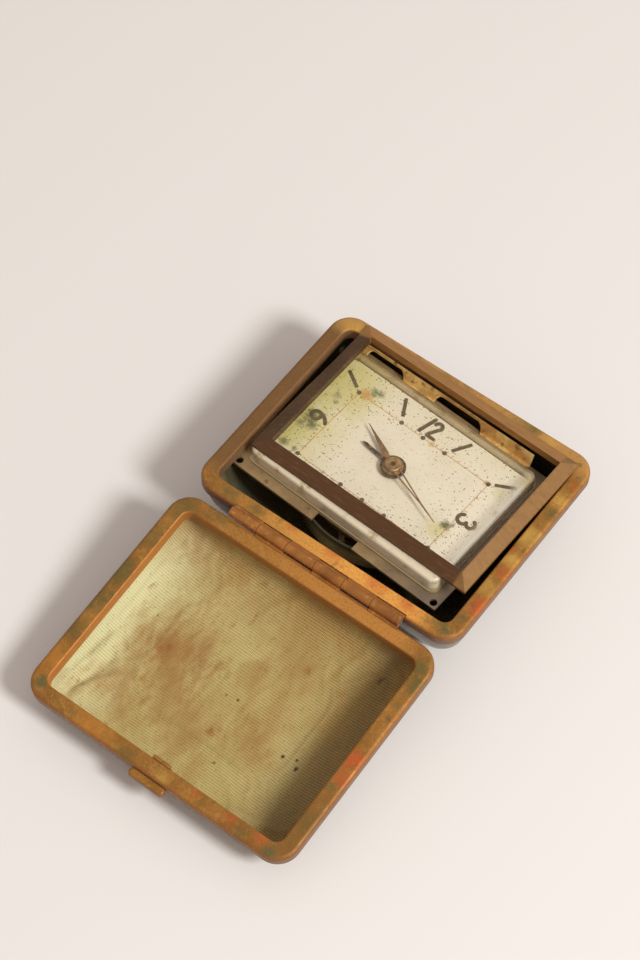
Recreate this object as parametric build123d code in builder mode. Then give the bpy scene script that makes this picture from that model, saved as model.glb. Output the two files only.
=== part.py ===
"""A folding travel alarm clock in a two-shell brass case, laid open as in the photograph.

The origin is the middle of the face the base stands on, +X runs along the hinge,
+Y runs from the hinge to the twelve o'clock side of the base, +Z is up.
All lengths are millimetres.
"""
from build123d import *
from math import cos, sin, radians, atan2, degrees, hypot
import os

os.makedirs("parts", exist_ok=True)

# Case in plan
case_width = 85.0
case_depth = 69.4
case_corner = 6.5
rim_width = 4.6
rim_inner_corner = 2.6
rim_wall = 0.8
rim_band = 3.4
rim_lip = 4.0
rim_lip_wall = 0.7
rim_outer_round = 1.25
rim_inner_round = 0.55

# Pressed shells
base_height = 21.0
lid_height = 13.34
shell_wall = 0.7
shell_edge_drop = 1.0
shell_fit = 0.06
pillow_inset = 15.0
pillow_corner_growth = 5.5
drop_shares = (0.0, 0.22, 0.40, 0.56, 0.70, 0.80, 0.88, 0.945, 0.985, 1.0)
inset_shares = (0.0, 0.012, 0.043, 0.105, 0.20, 0.325, 0.48, 0.68, 0.85, 1.0)
cut_overrun = 1.0

# Linings
lining_thickness = 0.5
lining_gap = 0.3
lining_edge_drop = 3.3

# Hinge between the shells
rim_gap = 3.2
hinge_below_base_rim = 0.35
shut_gap = 0.25
lid_tilt = 7.0
knuckle_radius = 1.45
knuckle_count = 6
knuckle_length = 9.23
knuckle_gap = 0.15
pin_radius = 0.6
pin_clearance = 0.05
leaf_thickness = 0.6
leaf_drop = 2.9
leaf_fit = 0.1
leaf_web_rise = 0.15

# Catch on the lid
thumb_lip_length = 11.2
thumb_lip_reach = 2.3
thumb_lip_height = 1.8
thumb_lip_drop = 1.2
thumb_lip_corner_share = 0.45
thumb_lip_round_share = 0.3
catch_width = 5.6
catch_thickness = 0.45
catch_height = 3.4
catch_drop = 0.1
catch_seat = 0.05
catch_offset = 0.4
catch_fold = 0.95
catch_corner_share = 0.3

# Retaining strip along the far wall of the base
strip_left_margin = 1.3
strip_right_margin = 10.1
strip_thickness = 0.45
strip_foot_depth = 1.3
strip_overlap = 1.95
strip_lean = 2.7
strip_top_below_rim = 1.6
strip_seat = 0.1
strip_yaw = -2.25
strip_slot_half = 2.3
strip_slot_shares = ((0.04, 0.27), (0.44, 0.72))

# Bezel frame lying on the crystal and the far rim
bezel_x = 1.4
bezel_y = 6.8
bezel_yaw = -2.25
bezel_overhang_x = 1.2
bezel_shortfall_y = 0.7
bezel_bar = 3.75
bezel_wall_height = 0.9
bezel_rise = 1.9
bezel_skin = 0.8
bezel_rest = 0.05
bezel_boss_radius = 1.5
bezel_boss_bore = 0.8
bezel_boss_margin = 1.75

# Clock unit in the tray
clock_x = -2.4
clock_y = 2.0
clock_yaw = -3.6
plate_below_rim = 5.4
plate_thickness = 0.8
plate_room_x = 5.2
plate_room_y = 8.7
plate_corner = 0.6
plate_hole_radius = 1.05
plate_hole_margin = 1.6
plate_opening_share = 0.708
plate_notch_width = 13.9
plate_notch_depth = 2.9
seat = 0.05

# Crystal
crystal_margin_x = 3.2
crystal_margin_y = 3.45
crystal_corner = 2.4
crystal_wall = 0.95
crystal_top_thickness = 1.1
crystal_below_rim = 0.15
crystal_edge_round = 0.9
crystal_flange = 0.45
crystal_flange_height = 0.7

# Dial
dial_above_plate = 1.0
dial_sheet = 0.45
dial_gap = 0.3
dial_corner = 1.4
dial_bore = 2.0
mark_height = 0.14
mark_sink = 0.02
track_depth_share = 0.3087
track_width_share = 0.3663
dot_radius = 0.65
dot_sides = 12
bar_width = 0.95
bar_length = 6.0
bar_reach_share = 0.95
near_bar_angle = 30.0
far_bar_angle = 60.0
numeral_height_share = 0.142
numeral_stroke_share = 0.17
twelve_reach_share = 0.402
three_reach_share = 0.413
# numeral arcs: centre and radius in shares of the height, start angle, sweep
two_arcs = ((0.18, 0.27, 0.18, -50.0, 225.0),)
twelve_strokes = ((-0.40, -0.44, -0.16, 0.48), (0.29, 0.14, 0.02, -0.36), (0.02, -0.42, 0.40, -0.42))
three_arcs = ((0.0, 0.22, 0.21, -75.0, 235.0), (0.0, -0.21, 0.25, -160.0, 235.0))
nine_arcs = ((-0.04, 0.22, 0.22, 0.0, 180.0), (-0.04, 0.22, 0.22, 180.0, 180.0),
             (-0.52, 0.20, 0.70, -58.0, 63.0))

# Hands, with their heights above the mounting plate
alarm_hand_rise = 1.7
hour_hand_rise = 2.35
minute_hand_rise = 2.95
hand_sheet = 0.2
alarm_hand_length = 11.6
alarm_hand_width = 1.0
alarm_hand_angle = 276.0
alarm_cup_radius = 3.6
hour_hand_length = 14.8
hour_hand_width = 1.7
hour_hand_angle = 295.0
hour_hub_radius = 2.9
hour_shoulder = 4.6
minute_hand_length = 20.8
minute_hand_width = 2.1
minute_hand_angle = 109.0
minute_merge = 13.8
minute_hub_radius = 2.2
minute_hub_height = 0.75
hand_rib = 0.42
hand_tip = 0.16
hand_join = 0.25
fork_start = 2.05
fork_share = 0.93
hub_round_share = 0.4

# Movement plates and can. Levels and thicknesses are shares of the room between the
# base's lining and the mounting plate, counted up from the lining.
front_plate_top_share = 0.844
plate_sheet_share = 0.057
back_plate_top_share = 0.376
movement_gap = 3.0
pillar_circle_share = 0.907
pillar_radius_share = 0.0575
pillar_angles = (35.0, 100.0, 190.0, 270.0)
post_circle_share = 0.8407
post_angles = (65.0, 150.0, 235.0, 320.0)
can_overhang = 0.45
can_wall = 0.6
can_gap = 0.2
can_bottom_share = 0.22
can_round = 3.0
can_round_share = 0.3
can_bore_clearance = 0.3
back_screw_radius = 1.7
back_screw_height = 0.7
back_screw_slot = 0.35
back_screw_slot_depth = 0.3

# Arbor places on the clock, in shares of the movement plates' radius
centre_share = (0.0, 0.0)
time_barrel_share = (-0.354, -0.292)
alarm_barrel_share = (0.4646, -0.4204)
third_share = (0.2876, 0.2743)
fourth_share = (0.0221, 0.4204)
escape_share = (-0.2035, 0.5442)
pallet_share = (-0.4403, 0.5088)
balance_share = (-0.6416, 0.3186)
alarm_set_share = (-0.4159, 0.1416)
motion_share = (0.2257, 0.0)
hammer_share = (0.6416, 0.1991)

wheel_sheet_share = 0.025
tooth_height = 0.5
tooth_share = 0.5
tooth_flank_share = 0.45
arbor_radius = 0.35
crossing_share = 0.27
crossings = 4
pivot_clearance = 0.06
arbor_fit = 0.02
arbor_end_play = 0.15

centre_arbor_radius = 0.6
centre_pinion_radius = 1.2
centre_pinion_low_share = 0.411
centre_pinion_high_share = 0.468
cannon_radius = 1.25
cannon_low_share = 0.858
cannon_high_share = 0.894
centre_arbor_rise = 3.6
centre_wheel_share = 0.354
centre_wheel_level_share = 0.73
centre_wheel_teeth = 40

third_wheel_share = 0.2655
third_wheel_level_share = 0.589
third_wheel_teeth = 32
third_pinion_radius = 0.9
third_pinion_low_share = 0.716
fourth_wheel_share = 0.2212
fourth_wheel_level_share = 0.475
fourth_wheel_teeth = 28
fourth_pinion_radius = 0.75
fourth_pinion_low_share = 0.575
escape_wheel_share = 0.177
escape_wheel_level_share = 0.645
escape_wheel_teeth = 15
escape_pinion_radius = 0.7
escape_pinion_low_share = 0.461
pinion_length_share = 0.057

hour_wheel_share = 0.177
hour_wheel_level_share = 0.915
hour_wheel_teeth = 24
hour_pipe_radius = 1.1
hour_pipe_bore = 0.68
hour_pipe_rise = 2.75
alarm_wheel_share = 0.3805
alarm_wheel_level_share = 0.965
alarm_wheel_teeth = 36
alarm_pipe_radius = 1.7
alarm_pipe_bore = 1.2
alarm_pipe_rise = 2.1
motion_wheel_share = 0.1659
motion_wheel_level_share = 0.865
motion_wheel_teeth = 24
motion_pinion_radius = 0.95
motion_pinion_top_share = 0.943

barrel_low_share = 0.418
barrel_high_share = 0.674
barrel_wall = 0.5
barrel_tooth_sheet_share = 0.035
time_barrel_drum_share = 0.354
time_barrel_gear_share = 0.3982
time_barrel_teeth = 44
alarm_barrel_drum_share = 0.292
alarm_barrel_gear_share = 0.3186
alarm_barrel_teeth = 36
barrel_arbor_radius = 1.0

key_low_share = 0.021
key_wing_top_share = 0.099
key_hub_top_share = 0.184
key_hub_radius = 2.0
key_span_share = 0.5487
key_wing_height_share = 0.2212
key_wing_hole_share = 0.0487
key_waist = 2.2
time_key_turn = 25.0
alarm_key_turn = -30.0
knob_low_share = 0.021
knob_high_share = 0.156
set_knob_share = 0.1549
alarm_knob_share = 0.1106
set_knob_flutes = 14
alarm_knob_flutes = 10
knob_flute_radius = 0.45
alarm_arbor_radius = 0.5
alarm_pinion_radius = 1.15
alarm_pinion_low_share = 0.95
alarm_pinion_high_share = 0.993

balance_wheel_share = 0.2434
balance_rim = 0.8
balance_level_share = 0.475
balance_sheet_share = 0.05
roller_radius = 0.9
roller_low_share = 0.638
roller_high_share = 0.674
pallet_level_share = 0.645
pallet_stem_share = 0.2257
pallet_stem_width = 0.7
pallet_arm_share = 0.093
pallet_arm_width = 0.6
pallet_hub = 0.8
hammer_arm_share = 0.4292
hammer_arm_width = 1.2
hammer_level_share = 0.504
hammer_sheet_share = 0.05
hammer_head_radius = 1.2
hammer_head_height_share = 0.17
hammer_angle = -55.0

# Worked-out sizes
opening_width = case_width - 2 * rim_width
opening_depth = case_depth - 2 * rim_width
plate_width = opening_width - plate_room_x
plate_depth = opening_depth - plate_room_y
plate_hole_span_x = plate_width - 2 * plate_hole_margin
plate_hole_span_y = plate_depth - 2 * plate_hole_margin
bezel_width = plate_width + bezel_overhang_x
bezel_depth = plate_depth - bezel_shortfall_y
crystal_width = plate_width - 2 * crystal_margin_x
crystal_depth = plate_depth - 2 * crystal_margin_y
dial_width = crystal_width - 2 * crystal_wall - 2 * dial_gap
dial_depth = crystal_depth - 2 * crystal_wall - 2 * dial_gap
can_radius = plate_depth / 2 + can_overhang
movement_radius = can_radius - can_wall - movement_gap
plate_opening_radius = movement_radius * plate_opening_share
pillar_circle = movement_radius * pillar_circle_share
pillar_radius = movement_radius * pillar_radius_share
post_circle = movement_radius * post_circle_share
centre_wheel_radius = movement_radius * centre_wheel_share
third_wheel_radius = movement_radius * third_wheel_share
fourth_wheel_radius = movement_radius * fourth_wheel_share
escape_wheel_radius = movement_radius * escape_wheel_share
hour_wheel_radius = movement_radius * hour_wheel_share
alarm_wheel_radius = movement_radius * alarm_wheel_share
motion_wheel_radius = movement_radius * motion_wheel_share
time_barrel_radius = movement_radius * time_barrel_drum_share
time_barrel_gear = movement_radius * time_barrel_gear_share
alarm_barrel_radius = movement_radius * alarm_barrel_drum_share
alarm_barrel_gear = movement_radius * alarm_barrel_gear_share
balance_radius = movement_radius * balance_wheel_share
pallet_stem = movement_radius * pallet_stem_share
pallet_arm = movement_radius * pallet_arm_share
hammer_arm = movement_radius * hammer_arm_share
key_span = movement_radius * key_span_share
key_wing_height = movement_radius * key_wing_height_share
key_wing_hole = movement_radius * key_wing_hole_share
set_knob_radius = movement_radius * set_knob_share
alarm_knob_radius = movement_radius * alarm_knob_share


def arbor_place(share):
    """Place of an arbor on the clock."""
    return (share[0] * movement_radius, share[1] * movement_radius)


centre_place = arbor_place(centre_share)
time_barrel_place = arbor_place(time_barrel_share)
alarm_barrel_place = arbor_place(alarm_barrel_share)
third_place = arbor_place(third_share)
fourth_place = arbor_place(fourth_share)
escape_place = arbor_place(escape_share)
pallet_place = arbor_place(pallet_share)
balance_place = arbor_place(balance_share)
alarm_set_place = arbor_place(alarm_set_share)
motion_place = arbor_place(motion_share)
hammer_place = arbor_place(hammer_share)

# Worked-out heights above the standing face
plate_top = base_height - plate_below_rim
crystal_top = base_height - crystal_below_rim
dial_top = plate_top + dial_above_plate
alarm_hand_level = plate_top + alarm_hand_rise
hour_hand_level = plate_top + hour_hand_rise
minute_hand_level = plate_top + minute_hand_rise
centre_arbor_top = plate_top + centre_arbor_rise
hour_pipe_top = plate_top + hour_pipe_rise
alarm_pipe_top = plate_top + alarm_pipe_rise
can_top = plate_top - plate_thickness - can_gap
lining_floor = shell_wall + lining_gap + lining_thickness
movement_room = plate_top - lining_floor


def level(share):
    """Height of a level of the movement, from its share of the room under the plate."""
    return lining_floor + share * movement_room


front_plate_top = level(front_plate_top_share)
back_plate_top = level(back_plate_top_share)
can_bottom = level(can_bottom_share)
centre_pinion_low = level(centre_pinion_low_share)
centre_pinion_high = level(centre_pinion_high_share)
cannon_low = level(cannon_low_share)
cannon_high = level(cannon_high_share)
centre_wheel_level = level(centre_wheel_level_share)
third_wheel_level = level(third_wheel_level_share)
third_pinion_low = level(third_pinion_low_share)
fourth_wheel_level = level(fourth_wheel_level_share)
fourth_pinion_low = level(fourth_pinion_low_share)
escape_wheel_level = level(escape_wheel_level_share)
escape_pinion_low = level(escape_pinion_low_share)
hour_wheel_level = level(hour_wheel_level_share)
alarm_wheel_level = level(alarm_wheel_level_share)
motion_wheel_level = level(motion_wheel_level_share)
motion_pinion_top = level(motion_pinion_top_share)
barrel_low = level(barrel_low_share)
barrel_high = level(barrel_high_share)
key_low = level(key_low_share)
key_wing_top = level(key_wing_top_share)
key_hub_top = level(key_hub_top_share)
knob_low = level(knob_low_share)
knob_high = level(knob_high_share)
alarm_pinion_low = level(alarm_pinion_low_share)
alarm_pinion_high = level(alarm_pinion_high_share)
balance_level = level(balance_level_share)
roller_low = level(roller_low_share)
roller_high = level(roller_high_share)
pallet_level = level(pallet_level_share)
hammer_level = level(hammer_level_share)
wheel_sheet = movement_room * wheel_sheet_share
pinion_length = movement_room * pinion_length_share
plate_sheet = movement_room * plate_sheet_share
barrel_tooth_sheet = movement_room * barrel_tooth_sheet_share
balance_sheet = movement_room * balance_sheet_share
hammer_sheet = movement_room * hammer_sheet_share
hammer_head_height = movement_room * hammer_head_height_share

# Worked-out places
hinge_y = -(case_depth + rim_gap) / 2
hinge_z = base_height - hinge_below_base_rim
lid_rim_above_hinge = -(hinge_below_base_rim + shut_gap)
knuckle_row = knuckle_count * knuckle_length

base_rim_plane = Plane(origin=(0, 0, base_height), x_dir=(1, 0, 0), z_dir=(0, 0, 1))
lid_hinge_plane = Plane(
    origin=(0, hinge_y, hinge_z), x_dir=(1, 0, 0),
    z_dir=(0, -sin(radians(lid_tilt)), cos(radians(lid_tilt))))
lid_rim_plane = Plane(
    origin=lid_hinge_plane.from_local_coords((0, hinge_y, lid_rim_above_hinge)),
    x_dir=(1, 0, 0), z_dir=lid_hinge_plane.z_dir)
clock_plane = Plane(
    origin=(clock_x, clock_y, 0),
    x_dir=(cos(radians(clock_yaw)), sin(radians(clock_yaw)), 0), z_dir=(0, 0, 1))
bezel_plane = Plane(
    origin=(bezel_x, bezel_y, base_height + bezel_rest),
    x_dir=(cos(radians(bezel_yaw)), sin(radians(bezel_yaw)), 0), z_dir=(0, 0, 1))


def finish(piece, name):
    """Name a finished piece and write it out."""
    piece.part.label = name
    export_step(piece.part, f"parts/{name}.step")


def pillow(plane, depth, extra_inset, top_drop, bottom_lift):
    """The list of rounded rectangles, top to bottom, that a pressed tray passes through."""
    stations = []
    for drop_share, inset_share in zip(drop_shares, inset_shares):
        drop = top_drop + drop_share * (depth - bottom_lift - top_drop)
        inset = rim_wall + shell_fit + extra_inset + inset_share * pillow_inset
        corner = case_corner - rim_wall - extra_inset + inset_share * pillow_corner_growth
        stations.append((plane.offset(-drop), case_width - inset - inset,
                         case_depth - inset - inset, corner))
    return stations


def tray(plane, depth):
    """An open pressed shell: the pillow form with a second one taken out of it."""
    with BuildPart() as piece:
        for level, width, length, corner in pillow(plane, depth, 0, shell_edge_drop, 0):
            with BuildSketch(level):
                RectangleRounded(width, length, corner)
        loft(ruled=True)
        for level, width, length, corner in pillow(plane, depth, shell_wall, shell_edge_drop, shell_wall):
            with BuildSketch(level):
                RectangleRounded(width, length, corner)
        loft(ruled=True, mode=Mode.SUBTRACT)
    return piece


def lining(plane, depth):
    """Cloth lining that follows the inside of a shell and ends under the rim's lip."""
    out = shell_wall + lining_gap
    with BuildPart() as piece:
        for level, width, length, corner in pillow(plane, depth, out, shell_edge_drop, out):
            with BuildSketch(level):
                RectangleRounded(width, length, corner)
        loft(ruled=True)
        inner = out + lining_thickness
        for level, width, length, corner in pillow(plane, depth, inner, shell_edge_drop, inner):
            with BuildSketch(level):
                RectangleRounded(width, length, corner)
        loft(ruled=True, mode=Mode.SUBTRACT)
        with BuildSketch(plane.offset(-lining_edge_drop)):
            Rectangle(case_width, case_depth)
        extrude(amount=lining_edge_drop, mode=Mode.SUBTRACT)
    return piece


def rim(plane, leaf_side):
    """The channel-shaped brass rim that closes the edge of a shell."""
    up = Axis(plane.origin, plane.z_dir)
    with BuildPart() as piece:
        with BuildSketch(plane.offset(-rim_band)):
            RectangleRounded(case_width, case_depth, case_corner)
        extrude(amount=rim_band)
        fillet(piece.edges().group_by(up)[-1], rim_outer_round)
        with BuildSketch(plane.offset(-rim_band)):
            RectangleRounded(case_width - 2 * rim_width, case_depth - 2 * rim_width, rim_inner_corner)
        extrude(amount=rim_band, mode=Mode.SUBTRACT)
        top_face = piece.faces().group_by(up)[-1][0]
        fillet(top_face.inner_wires()[0].edges(), rim_inner_round)
        groove_inside = rim_width - rim_lip_wall
        with BuildSketch(plane.offset(-rim_band)):
            RectangleRounded(case_width - 2 * rim_wall, case_depth - 2 * rim_wall,
                             case_corner - rim_wall)
            RectangleRounded(case_width - 2 * groove_inside, case_depth - 2 * groove_inside,
                             rim_inner_corner + rim_lip_wall, mode=Mode.SUBTRACT)
        extrude(amount=rim_band - rim_wall, mode=Mode.SUBTRACT)
        with BuildSketch(plane.offset(-rim_lip)):
            RectangleRounded(case_width - 2 * groove_inside, case_depth - 2 * groove_inside,
                             rim_inner_corner + rim_lip_wall)
            RectangleRounded(case_width - 2 * rim_width, case_depth - 2 * rim_width,
                             rim_inner_corner, mode=Mode.SUBTRACT)
        extrude(amount=rim_lip - rim_wall)
        # recess in the outer face for the hinge leaf
        with BuildSketch(plane.offset(-rim_band)):
            with Locations((0, leaf_side * case_depth / 2)):
                Rectangle(knuckle_row + 2 * leaf_fit, 2 * (leaf_thickness + leaf_fit))
        extrude(amount=rim_band, mode=Mode.SUBTRACT)
    return piece


def knuckle_places(first):
    """Middle X of every other knuckle, starting with the one numbered first."""
    return [-knuckle_row / 2 + (place + 1 / 2) * knuckle_length
            for place in range(first, knuckle_count, 2)]


def hinge_leaf(plane, side, rim_height, first):
    """Leaf let into the rim, with every other knuckle of the piano hinge.

    The plane lies on the hinge axis, side is the Y direction of the leaf's own shell,
    rim_height is how far the shell's rim stands above the axis.
    """
    leaf_face = rim_gap / 2
    web_top = rim_height - leaf_web_rise
    with BuildPart() as piece:
        with BuildSketch(plane.offset(rim_height - rim_band)):
            with Locations((0, side * (leaf_face + leaf_thickness / 2))):
                Rectangle(knuckle_row, leaf_thickness)
        extrude(amount=leaf_drop)
        for x in knuckle_places(first):
            with BuildSketch(plane.offset(-knuckle_radius)):
                with Locations((x, side * (leaf_face + leaf_thickness) / 2)):
                    Rectangle(knuckle_length - knuckle_gap, leaf_face + leaf_thickness)
            extrude(amount=knuckle_radius + web_top)
            across = Plane(origin=plane.from_local_coords(
                (x - (knuckle_length - knuckle_gap) / 2, 0, 0)), x_dir=(0, 1, 0), z_dir=(1, 0, 0))
            with BuildSketch(across):
                Circle(knuckle_radius)
            extrude(amount=knuckle_length - knuckle_gap)
        start = Plane(origin=plane.from_local_coords((-knuckle_row, 0, 0)),
                      x_dir=(0, 1, 0), z_dir=(1, 0, 0))
        with BuildSketch(start):
            Circle(pin_radius + pin_clearance)
        extrude(amount=2 * knuckle_row, mode=Mode.SUBTRACT)
    return piece


# Shells
base_shell = tray(base_rim_plane, base_height)
finish(base_shell, "base_shell")
lid_shell = tray(lid_rim_plane, lid_height)
finish(lid_shell, "lid_shell")

# Rims
base_rim = rim(base_rim_plane, -1)
finish(base_rim, "base_rim")
lid_rim = rim(lid_rim_plane, 1)
finish(lid_rim, "lid_rim")

# Ribbed cloth linings
base_lining = lining(base_rim_plane, base_height)
finish(base_lining, "base_lining")
lid_lining = lining(lid_rim_plane, lid_height)
finish(lid_lining, "lid_lining")

# Piano hinge
base_hinge_leaf = hinge_leaf(Plane(origin=(0, hinge_y, hinge_z)), 1, hinge_below_base_rim, 0)
finish(base_hinge_leaf, "base_hinge_leaf")
lid_hinge_leaf = hinge_leaf(lid_hinge_plane, -1, lid_rim_above_hinge, 1)
finish(lid_hinge_leaf, "lid_hinge_leaf")
with BuildPart() as hinge_pin:
    with BuildSketch(Plane(origin=(-knuckle_row / 2, hinge_y, hinge_z), x_dir=(0, 1, 0), z_dir=(1, 0, 0))):
        Circle(pin_radius)
    extrude(amount=knuckle_row)
finish(hinge_pin, "hinge_pin")

# Thumb lip on the front of the lid
front_y = -case_depth / 2
with BuildPart() as lid_thumb_lip:
    with BuildSketch(lid_rim_plane.offset(-thumb_lip_drop - thumb_lip_height)):
        with Locations((0, front_y - thumb_lip_reach / 2)):
            RectangleRounded(thumb_lip_length, thumb_lip_reach,
                             thumb_lip_reach * thumb_lip_corner_share)
    extrude(amount=thumb_lip_height)
    fillet(lid_thumb_lip.edges().group_by(Axis(lid_rim_plane.origin, lid_rim_plane.z_dir))[-1],
           thumb_lip_reach * thumb_lip_round_share)
finish(lid_thumb_lip, "lid_thumb_lip")

# Folded spring tab inside the front of the lid
tab_y = front_y + rim_width + catch_seat
with BuildPart() as lid_catch_tab:
    with BuildSketch(lid_rim_plane.offset(-catch_drop - catch_height)):
        with Locations((catch_offset, tab_y + catch_thickness / 2)):
            Rectangle(catch_width, catch_thickness)
    extrude(amount=catch_height)
    with BuildSketch(lid_rim_plane.offset(-catch_drop - catch_thickness)):
        with Locations((catch_offset, tab_y + catch_fold / 2)):
            RectangleRounded(catch_width, catch_fold, catch_fold * catch_corner_share)
    extrude(amount=catch_thickness)
finish(lid_catch_tab, "lid_catch_tab")

# Brass strip that holds the clock's far edge down
strip_left = strip_left_margin - plate_width / 2
strip_right = plate_width / 2 - strip_right_margin
strip_foot_y = clock_y + plate_depth / 2 - strip_overlap
strip_top_y = strip_foot_y + strip_lean
strip_foot_z = plate_top + strip_seat
strip_foot_end = strip_foot_y + strip_foot_depth
strip_top_z = base_height - strip_top_below_rim
strip_x_dir = (cos(radians(strip_yaw)), sin(radians(strip_yaw)), 0)
strip_plane = Plane(origin=(0, 0, 0), x_dir=strip_x_dir, z_dir=(0, 0, 1))
strip_end_plane = Plane(origin=strip_plane.from_local_coords((strip_left, 0, 0)),
                        x_dir=strip_plane.y_dir, z_dir=strip_x_dir)
with BuildPart() as far_strip:
    with BuildSketch(strip_end_plane):
        with BuildLine():
            Polyline((strip_foot_y, strip_foot_z), (strip_foot_end, strip_foot_z),
                     (strip_top_y, strip_top_z),
                     (strip_top_y - strip_thickness, strip_top_z),
                     (strip_foot_end - strip_thickness / 2, strip_foot_z + strip_thickness),
                     (strip_foot_y, strip_foot_z + strip_thickness), close=True)
        make_face()
    extrude(amount=strip_right - strip_left)
    with BuildSketch(strip_plane.offset(plate_top)):
        strip_length = strip_right - strip_left
        for start, end in strip_slot_shares:
            with Locations((strip_left + (start + end) / 2 * strip_length, strip_foot_y)):
                SlotOverall((end - start) * strip_length, 2 * strip_slot_half)
    extrude(amount=base_height - plate_top, mode=Mode.SUBTRACT)
finish(far_strip, "far_strip")

# Mitred bezel frame, hollow underneath, with four screw bosses
bezel_top = bezel_wall_height + bezel_rise
window_width = bezel_width - 2 * bezel_bar
window_depth = bezel_depth - 2 * bezel_bar
boss_x = bezel_width / 2 - bezel_boss_margin
boss_y = bezel_depth / 2 - bezel_boss_margin
with BuildPart() as bezel_frame:
    with BuildSketch(bezel_plane):
        Rectangle(bezel_width, bezel_depth)
    extrude(amount=bezel_wall_height)
    with BuildSketch(bezel_plane.offset(bezel_wall_height)):
        Rectangle(bezel_width, bezel_depth)
    with BuildSketch(bezel_plane.offset(bezel_top)):
        Rectangle(window_width, window_depth)
    loft(ruled=True)
    with BuildSketch(bezel_plane.offset(-cut_overrun)):
        Rectangle(window_width, window_depth)
    extrude(amount=bezel_top + 2 * cut_overrun, mode=Mode.SUBTRACT)
    # hollow under the bars
    with BuildSketch(bezel_plane.offset(-cut_overrun)):
        Rectangle(bezel_width - 2 * bezel_skin, bezel_depth - 2 * bezel_skin)
        Rectangle(window_width + 2 * bezel_skin, window_depth + 2 * bezel_skin, mode=Mode.SUBTRACT)
    extrude(amount=cut_overrun + bezel_wall_height, mode=Mode.SUBTRACT)
    with BuildSketch(bezel_plane):
        with Locations([(side * boss_x, end * boss_y) for side in (-1, 1) for end in (-1, 1)]):
            Circle(bezel_boss_radius)
    extrude(amount=bezel_wall_height)
    with BuildSketch(bezel_plane):
        with Locations([(side * boss_x, end * boss_y) for side in (-1, 1) for end in (-1, 1)]):
            Circle(bezel_boss_bore)
    extrude(amount=bezel_wall_height, mode=Mode.SUBTRACT)
finish(bezel_frame, "bezel_frame")

# Moulded box crystal
crystal_low = plate_top + seat
crystal_height = crystal_top - crystal_low
with BuildPart() as crystal:
    with BuildSketch(clock_plane.offset(crystal_low)):
        RectangleRounded(crystal_width, crystal_depth, crystal_corner)
    extrude(amount=crystal_height)
    fillet(crystal.edges().group_by(Axis.Z)[-1], crystal_edge_round)
    with BuildSketch(clock_plane.offset(crystal_low)):
        RectangleRounded(crystal_width + 2 * crystal_flange, crystal_depth + 2 * crystal_flange,
                         crystal_corner)
    extrude(amount=crystal_flange_height)
    with BuildSketch(clock_plane.offset(crystal_low - cut_overrun)):
        RectangleRounded(crystal_width - 2 * crystal_wall, crystal_depth - 2 * crystal_wall,
                         crystal_corner - crystal_wall)
    extrude(amount=cut_overrun + crystal_height - crystal_top_thickness, mode=Mode.SUBTRACT)
finish(crystal, "crystal")

# Dial pan with a turned-down edge
dial_low = plate_top + seat
with BuildPart() as dial:
    with BuildSketch(clock_plane.offset(dial_low)):
        RectangleRounded(dial_width, dial_depth, dial_corner)
    extrude(amount=dial_top - dial_low)
    with BuildSketch(clock_plane.offset(dial_low - cut_overrun)):
        RectangleRounded(dial_width - 2 * dial_sheet, dial_depth - 2 * dial_sheet,
                         dial_corner - dial_sheet)
    extrude(amount=cut_overrun + dial_top - dial_low - dial_sheet, mode=Mode.SUBTRACT)
    with BuildSketch(clock_plane.offset(dial_low)):
        Circle(dial_bore)
    extrude(amount=dial_top - dial_low, mode=Mode.SUBTRACT)
finish(dial, "dial")


def on_dial(angle, reach):
    """Point on the clock at an angle clockwise from twelve and a distance from the centre."""
    return (reach * sin(radians(angle)), reach * cos(radians(angle)))


def edge_reach(angle):
    """How far the dial reaches from the centre at an angle from twelve."""
    return min(dial_width / 2 / sin(radians(angle)), dial_depth / 2 / cos(radians(angle)))


def numeral_arcs(middle, arcs, turn):
    """Bent strokes of a numeral about its middle, turned so that its head points outwards."""
    across, up = cos(radians(turn)), sin(radians(turn))
    return [CenterArc((middle[0] + numeral_height * (x * across - y * up),
                       middle[1] + numeral_height * (x * up + y * across)),
                      numeral_height * radius, start + turn, bend)
            for x, y, radius, start, bend in arcs]


# Raised hour bars, dots and numerals
numeral_height = dial_depth * numeral_height_share
numeral_stroke = numeral_height * numeral_stroke_share
twelve_reach = dial_depth * twelve_reach_share
three_reach = dial_width * three_reach_share
track_half_depth = dial_depth * track_depth_share
track_half_width = dial_width * track_width_share
bent_strokes = [*numeral_arcs((0, twelve_reach), two_arcs, 0),
                *numeral_arcs((three_reach, 0), three_arcs, -90),
                *numeral_arcs((-three_reach, 0), nine_arcs, 90),
                *numeral_arcs((0, -twelve_reach), nine_arcs, 0)]
dot_x = track_half_depth * sin(radians(near_bar_angle)) / cos(radians(near_bar_angle))
dots = [(side * x, end * track_half_depth) for side in (-1, 1) for end in (-1, 1)
        for x in (dot_x, track_half_width)]
dots += [(0, track_half_depth), (0, -track_half_depth)]
with BuildPart() as dial_marks:
    with BuildSketch(clock_plane.offset(dial_top + mark_sink)):
        for angle in (near_bar_angle, far_bar_angle):
            reach = edge_reach(angle) * bar_reach_share - bar_length / 2
            for turned in (angle, 180 - angle, 180 + angle, 360 - angle):
                with Locations(Location(on_dial(turned, reach), 90 - turned)):
                    Rectangle(bar_length, bar_width)
        with Locations(dots):
            RegularPolygon(dot_radius, dot_sides)
        for arc in bent_strokes:
            SlotArc(arc, numeral_stroke)
        for start_x, start_y, end_x, end_y in twelve_strokes:
            middle = ((start_x + end_x) / 2 * numeral_height,
                      twelve_reach + (start_y + end_y) / 2 * numeral_height)
            slant = degrees(atan2(end_y - start_y, end_x - start_x))
            with Locations(Location(middle, slant)):
                SlotCenterToCenter(numeral_height * hypot(end_x - start_x, end_y - start_y),
                                   numeral_stroke)
    extrude(amount=mark_height)
finish(dial_marks, "dial_marks")


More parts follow.
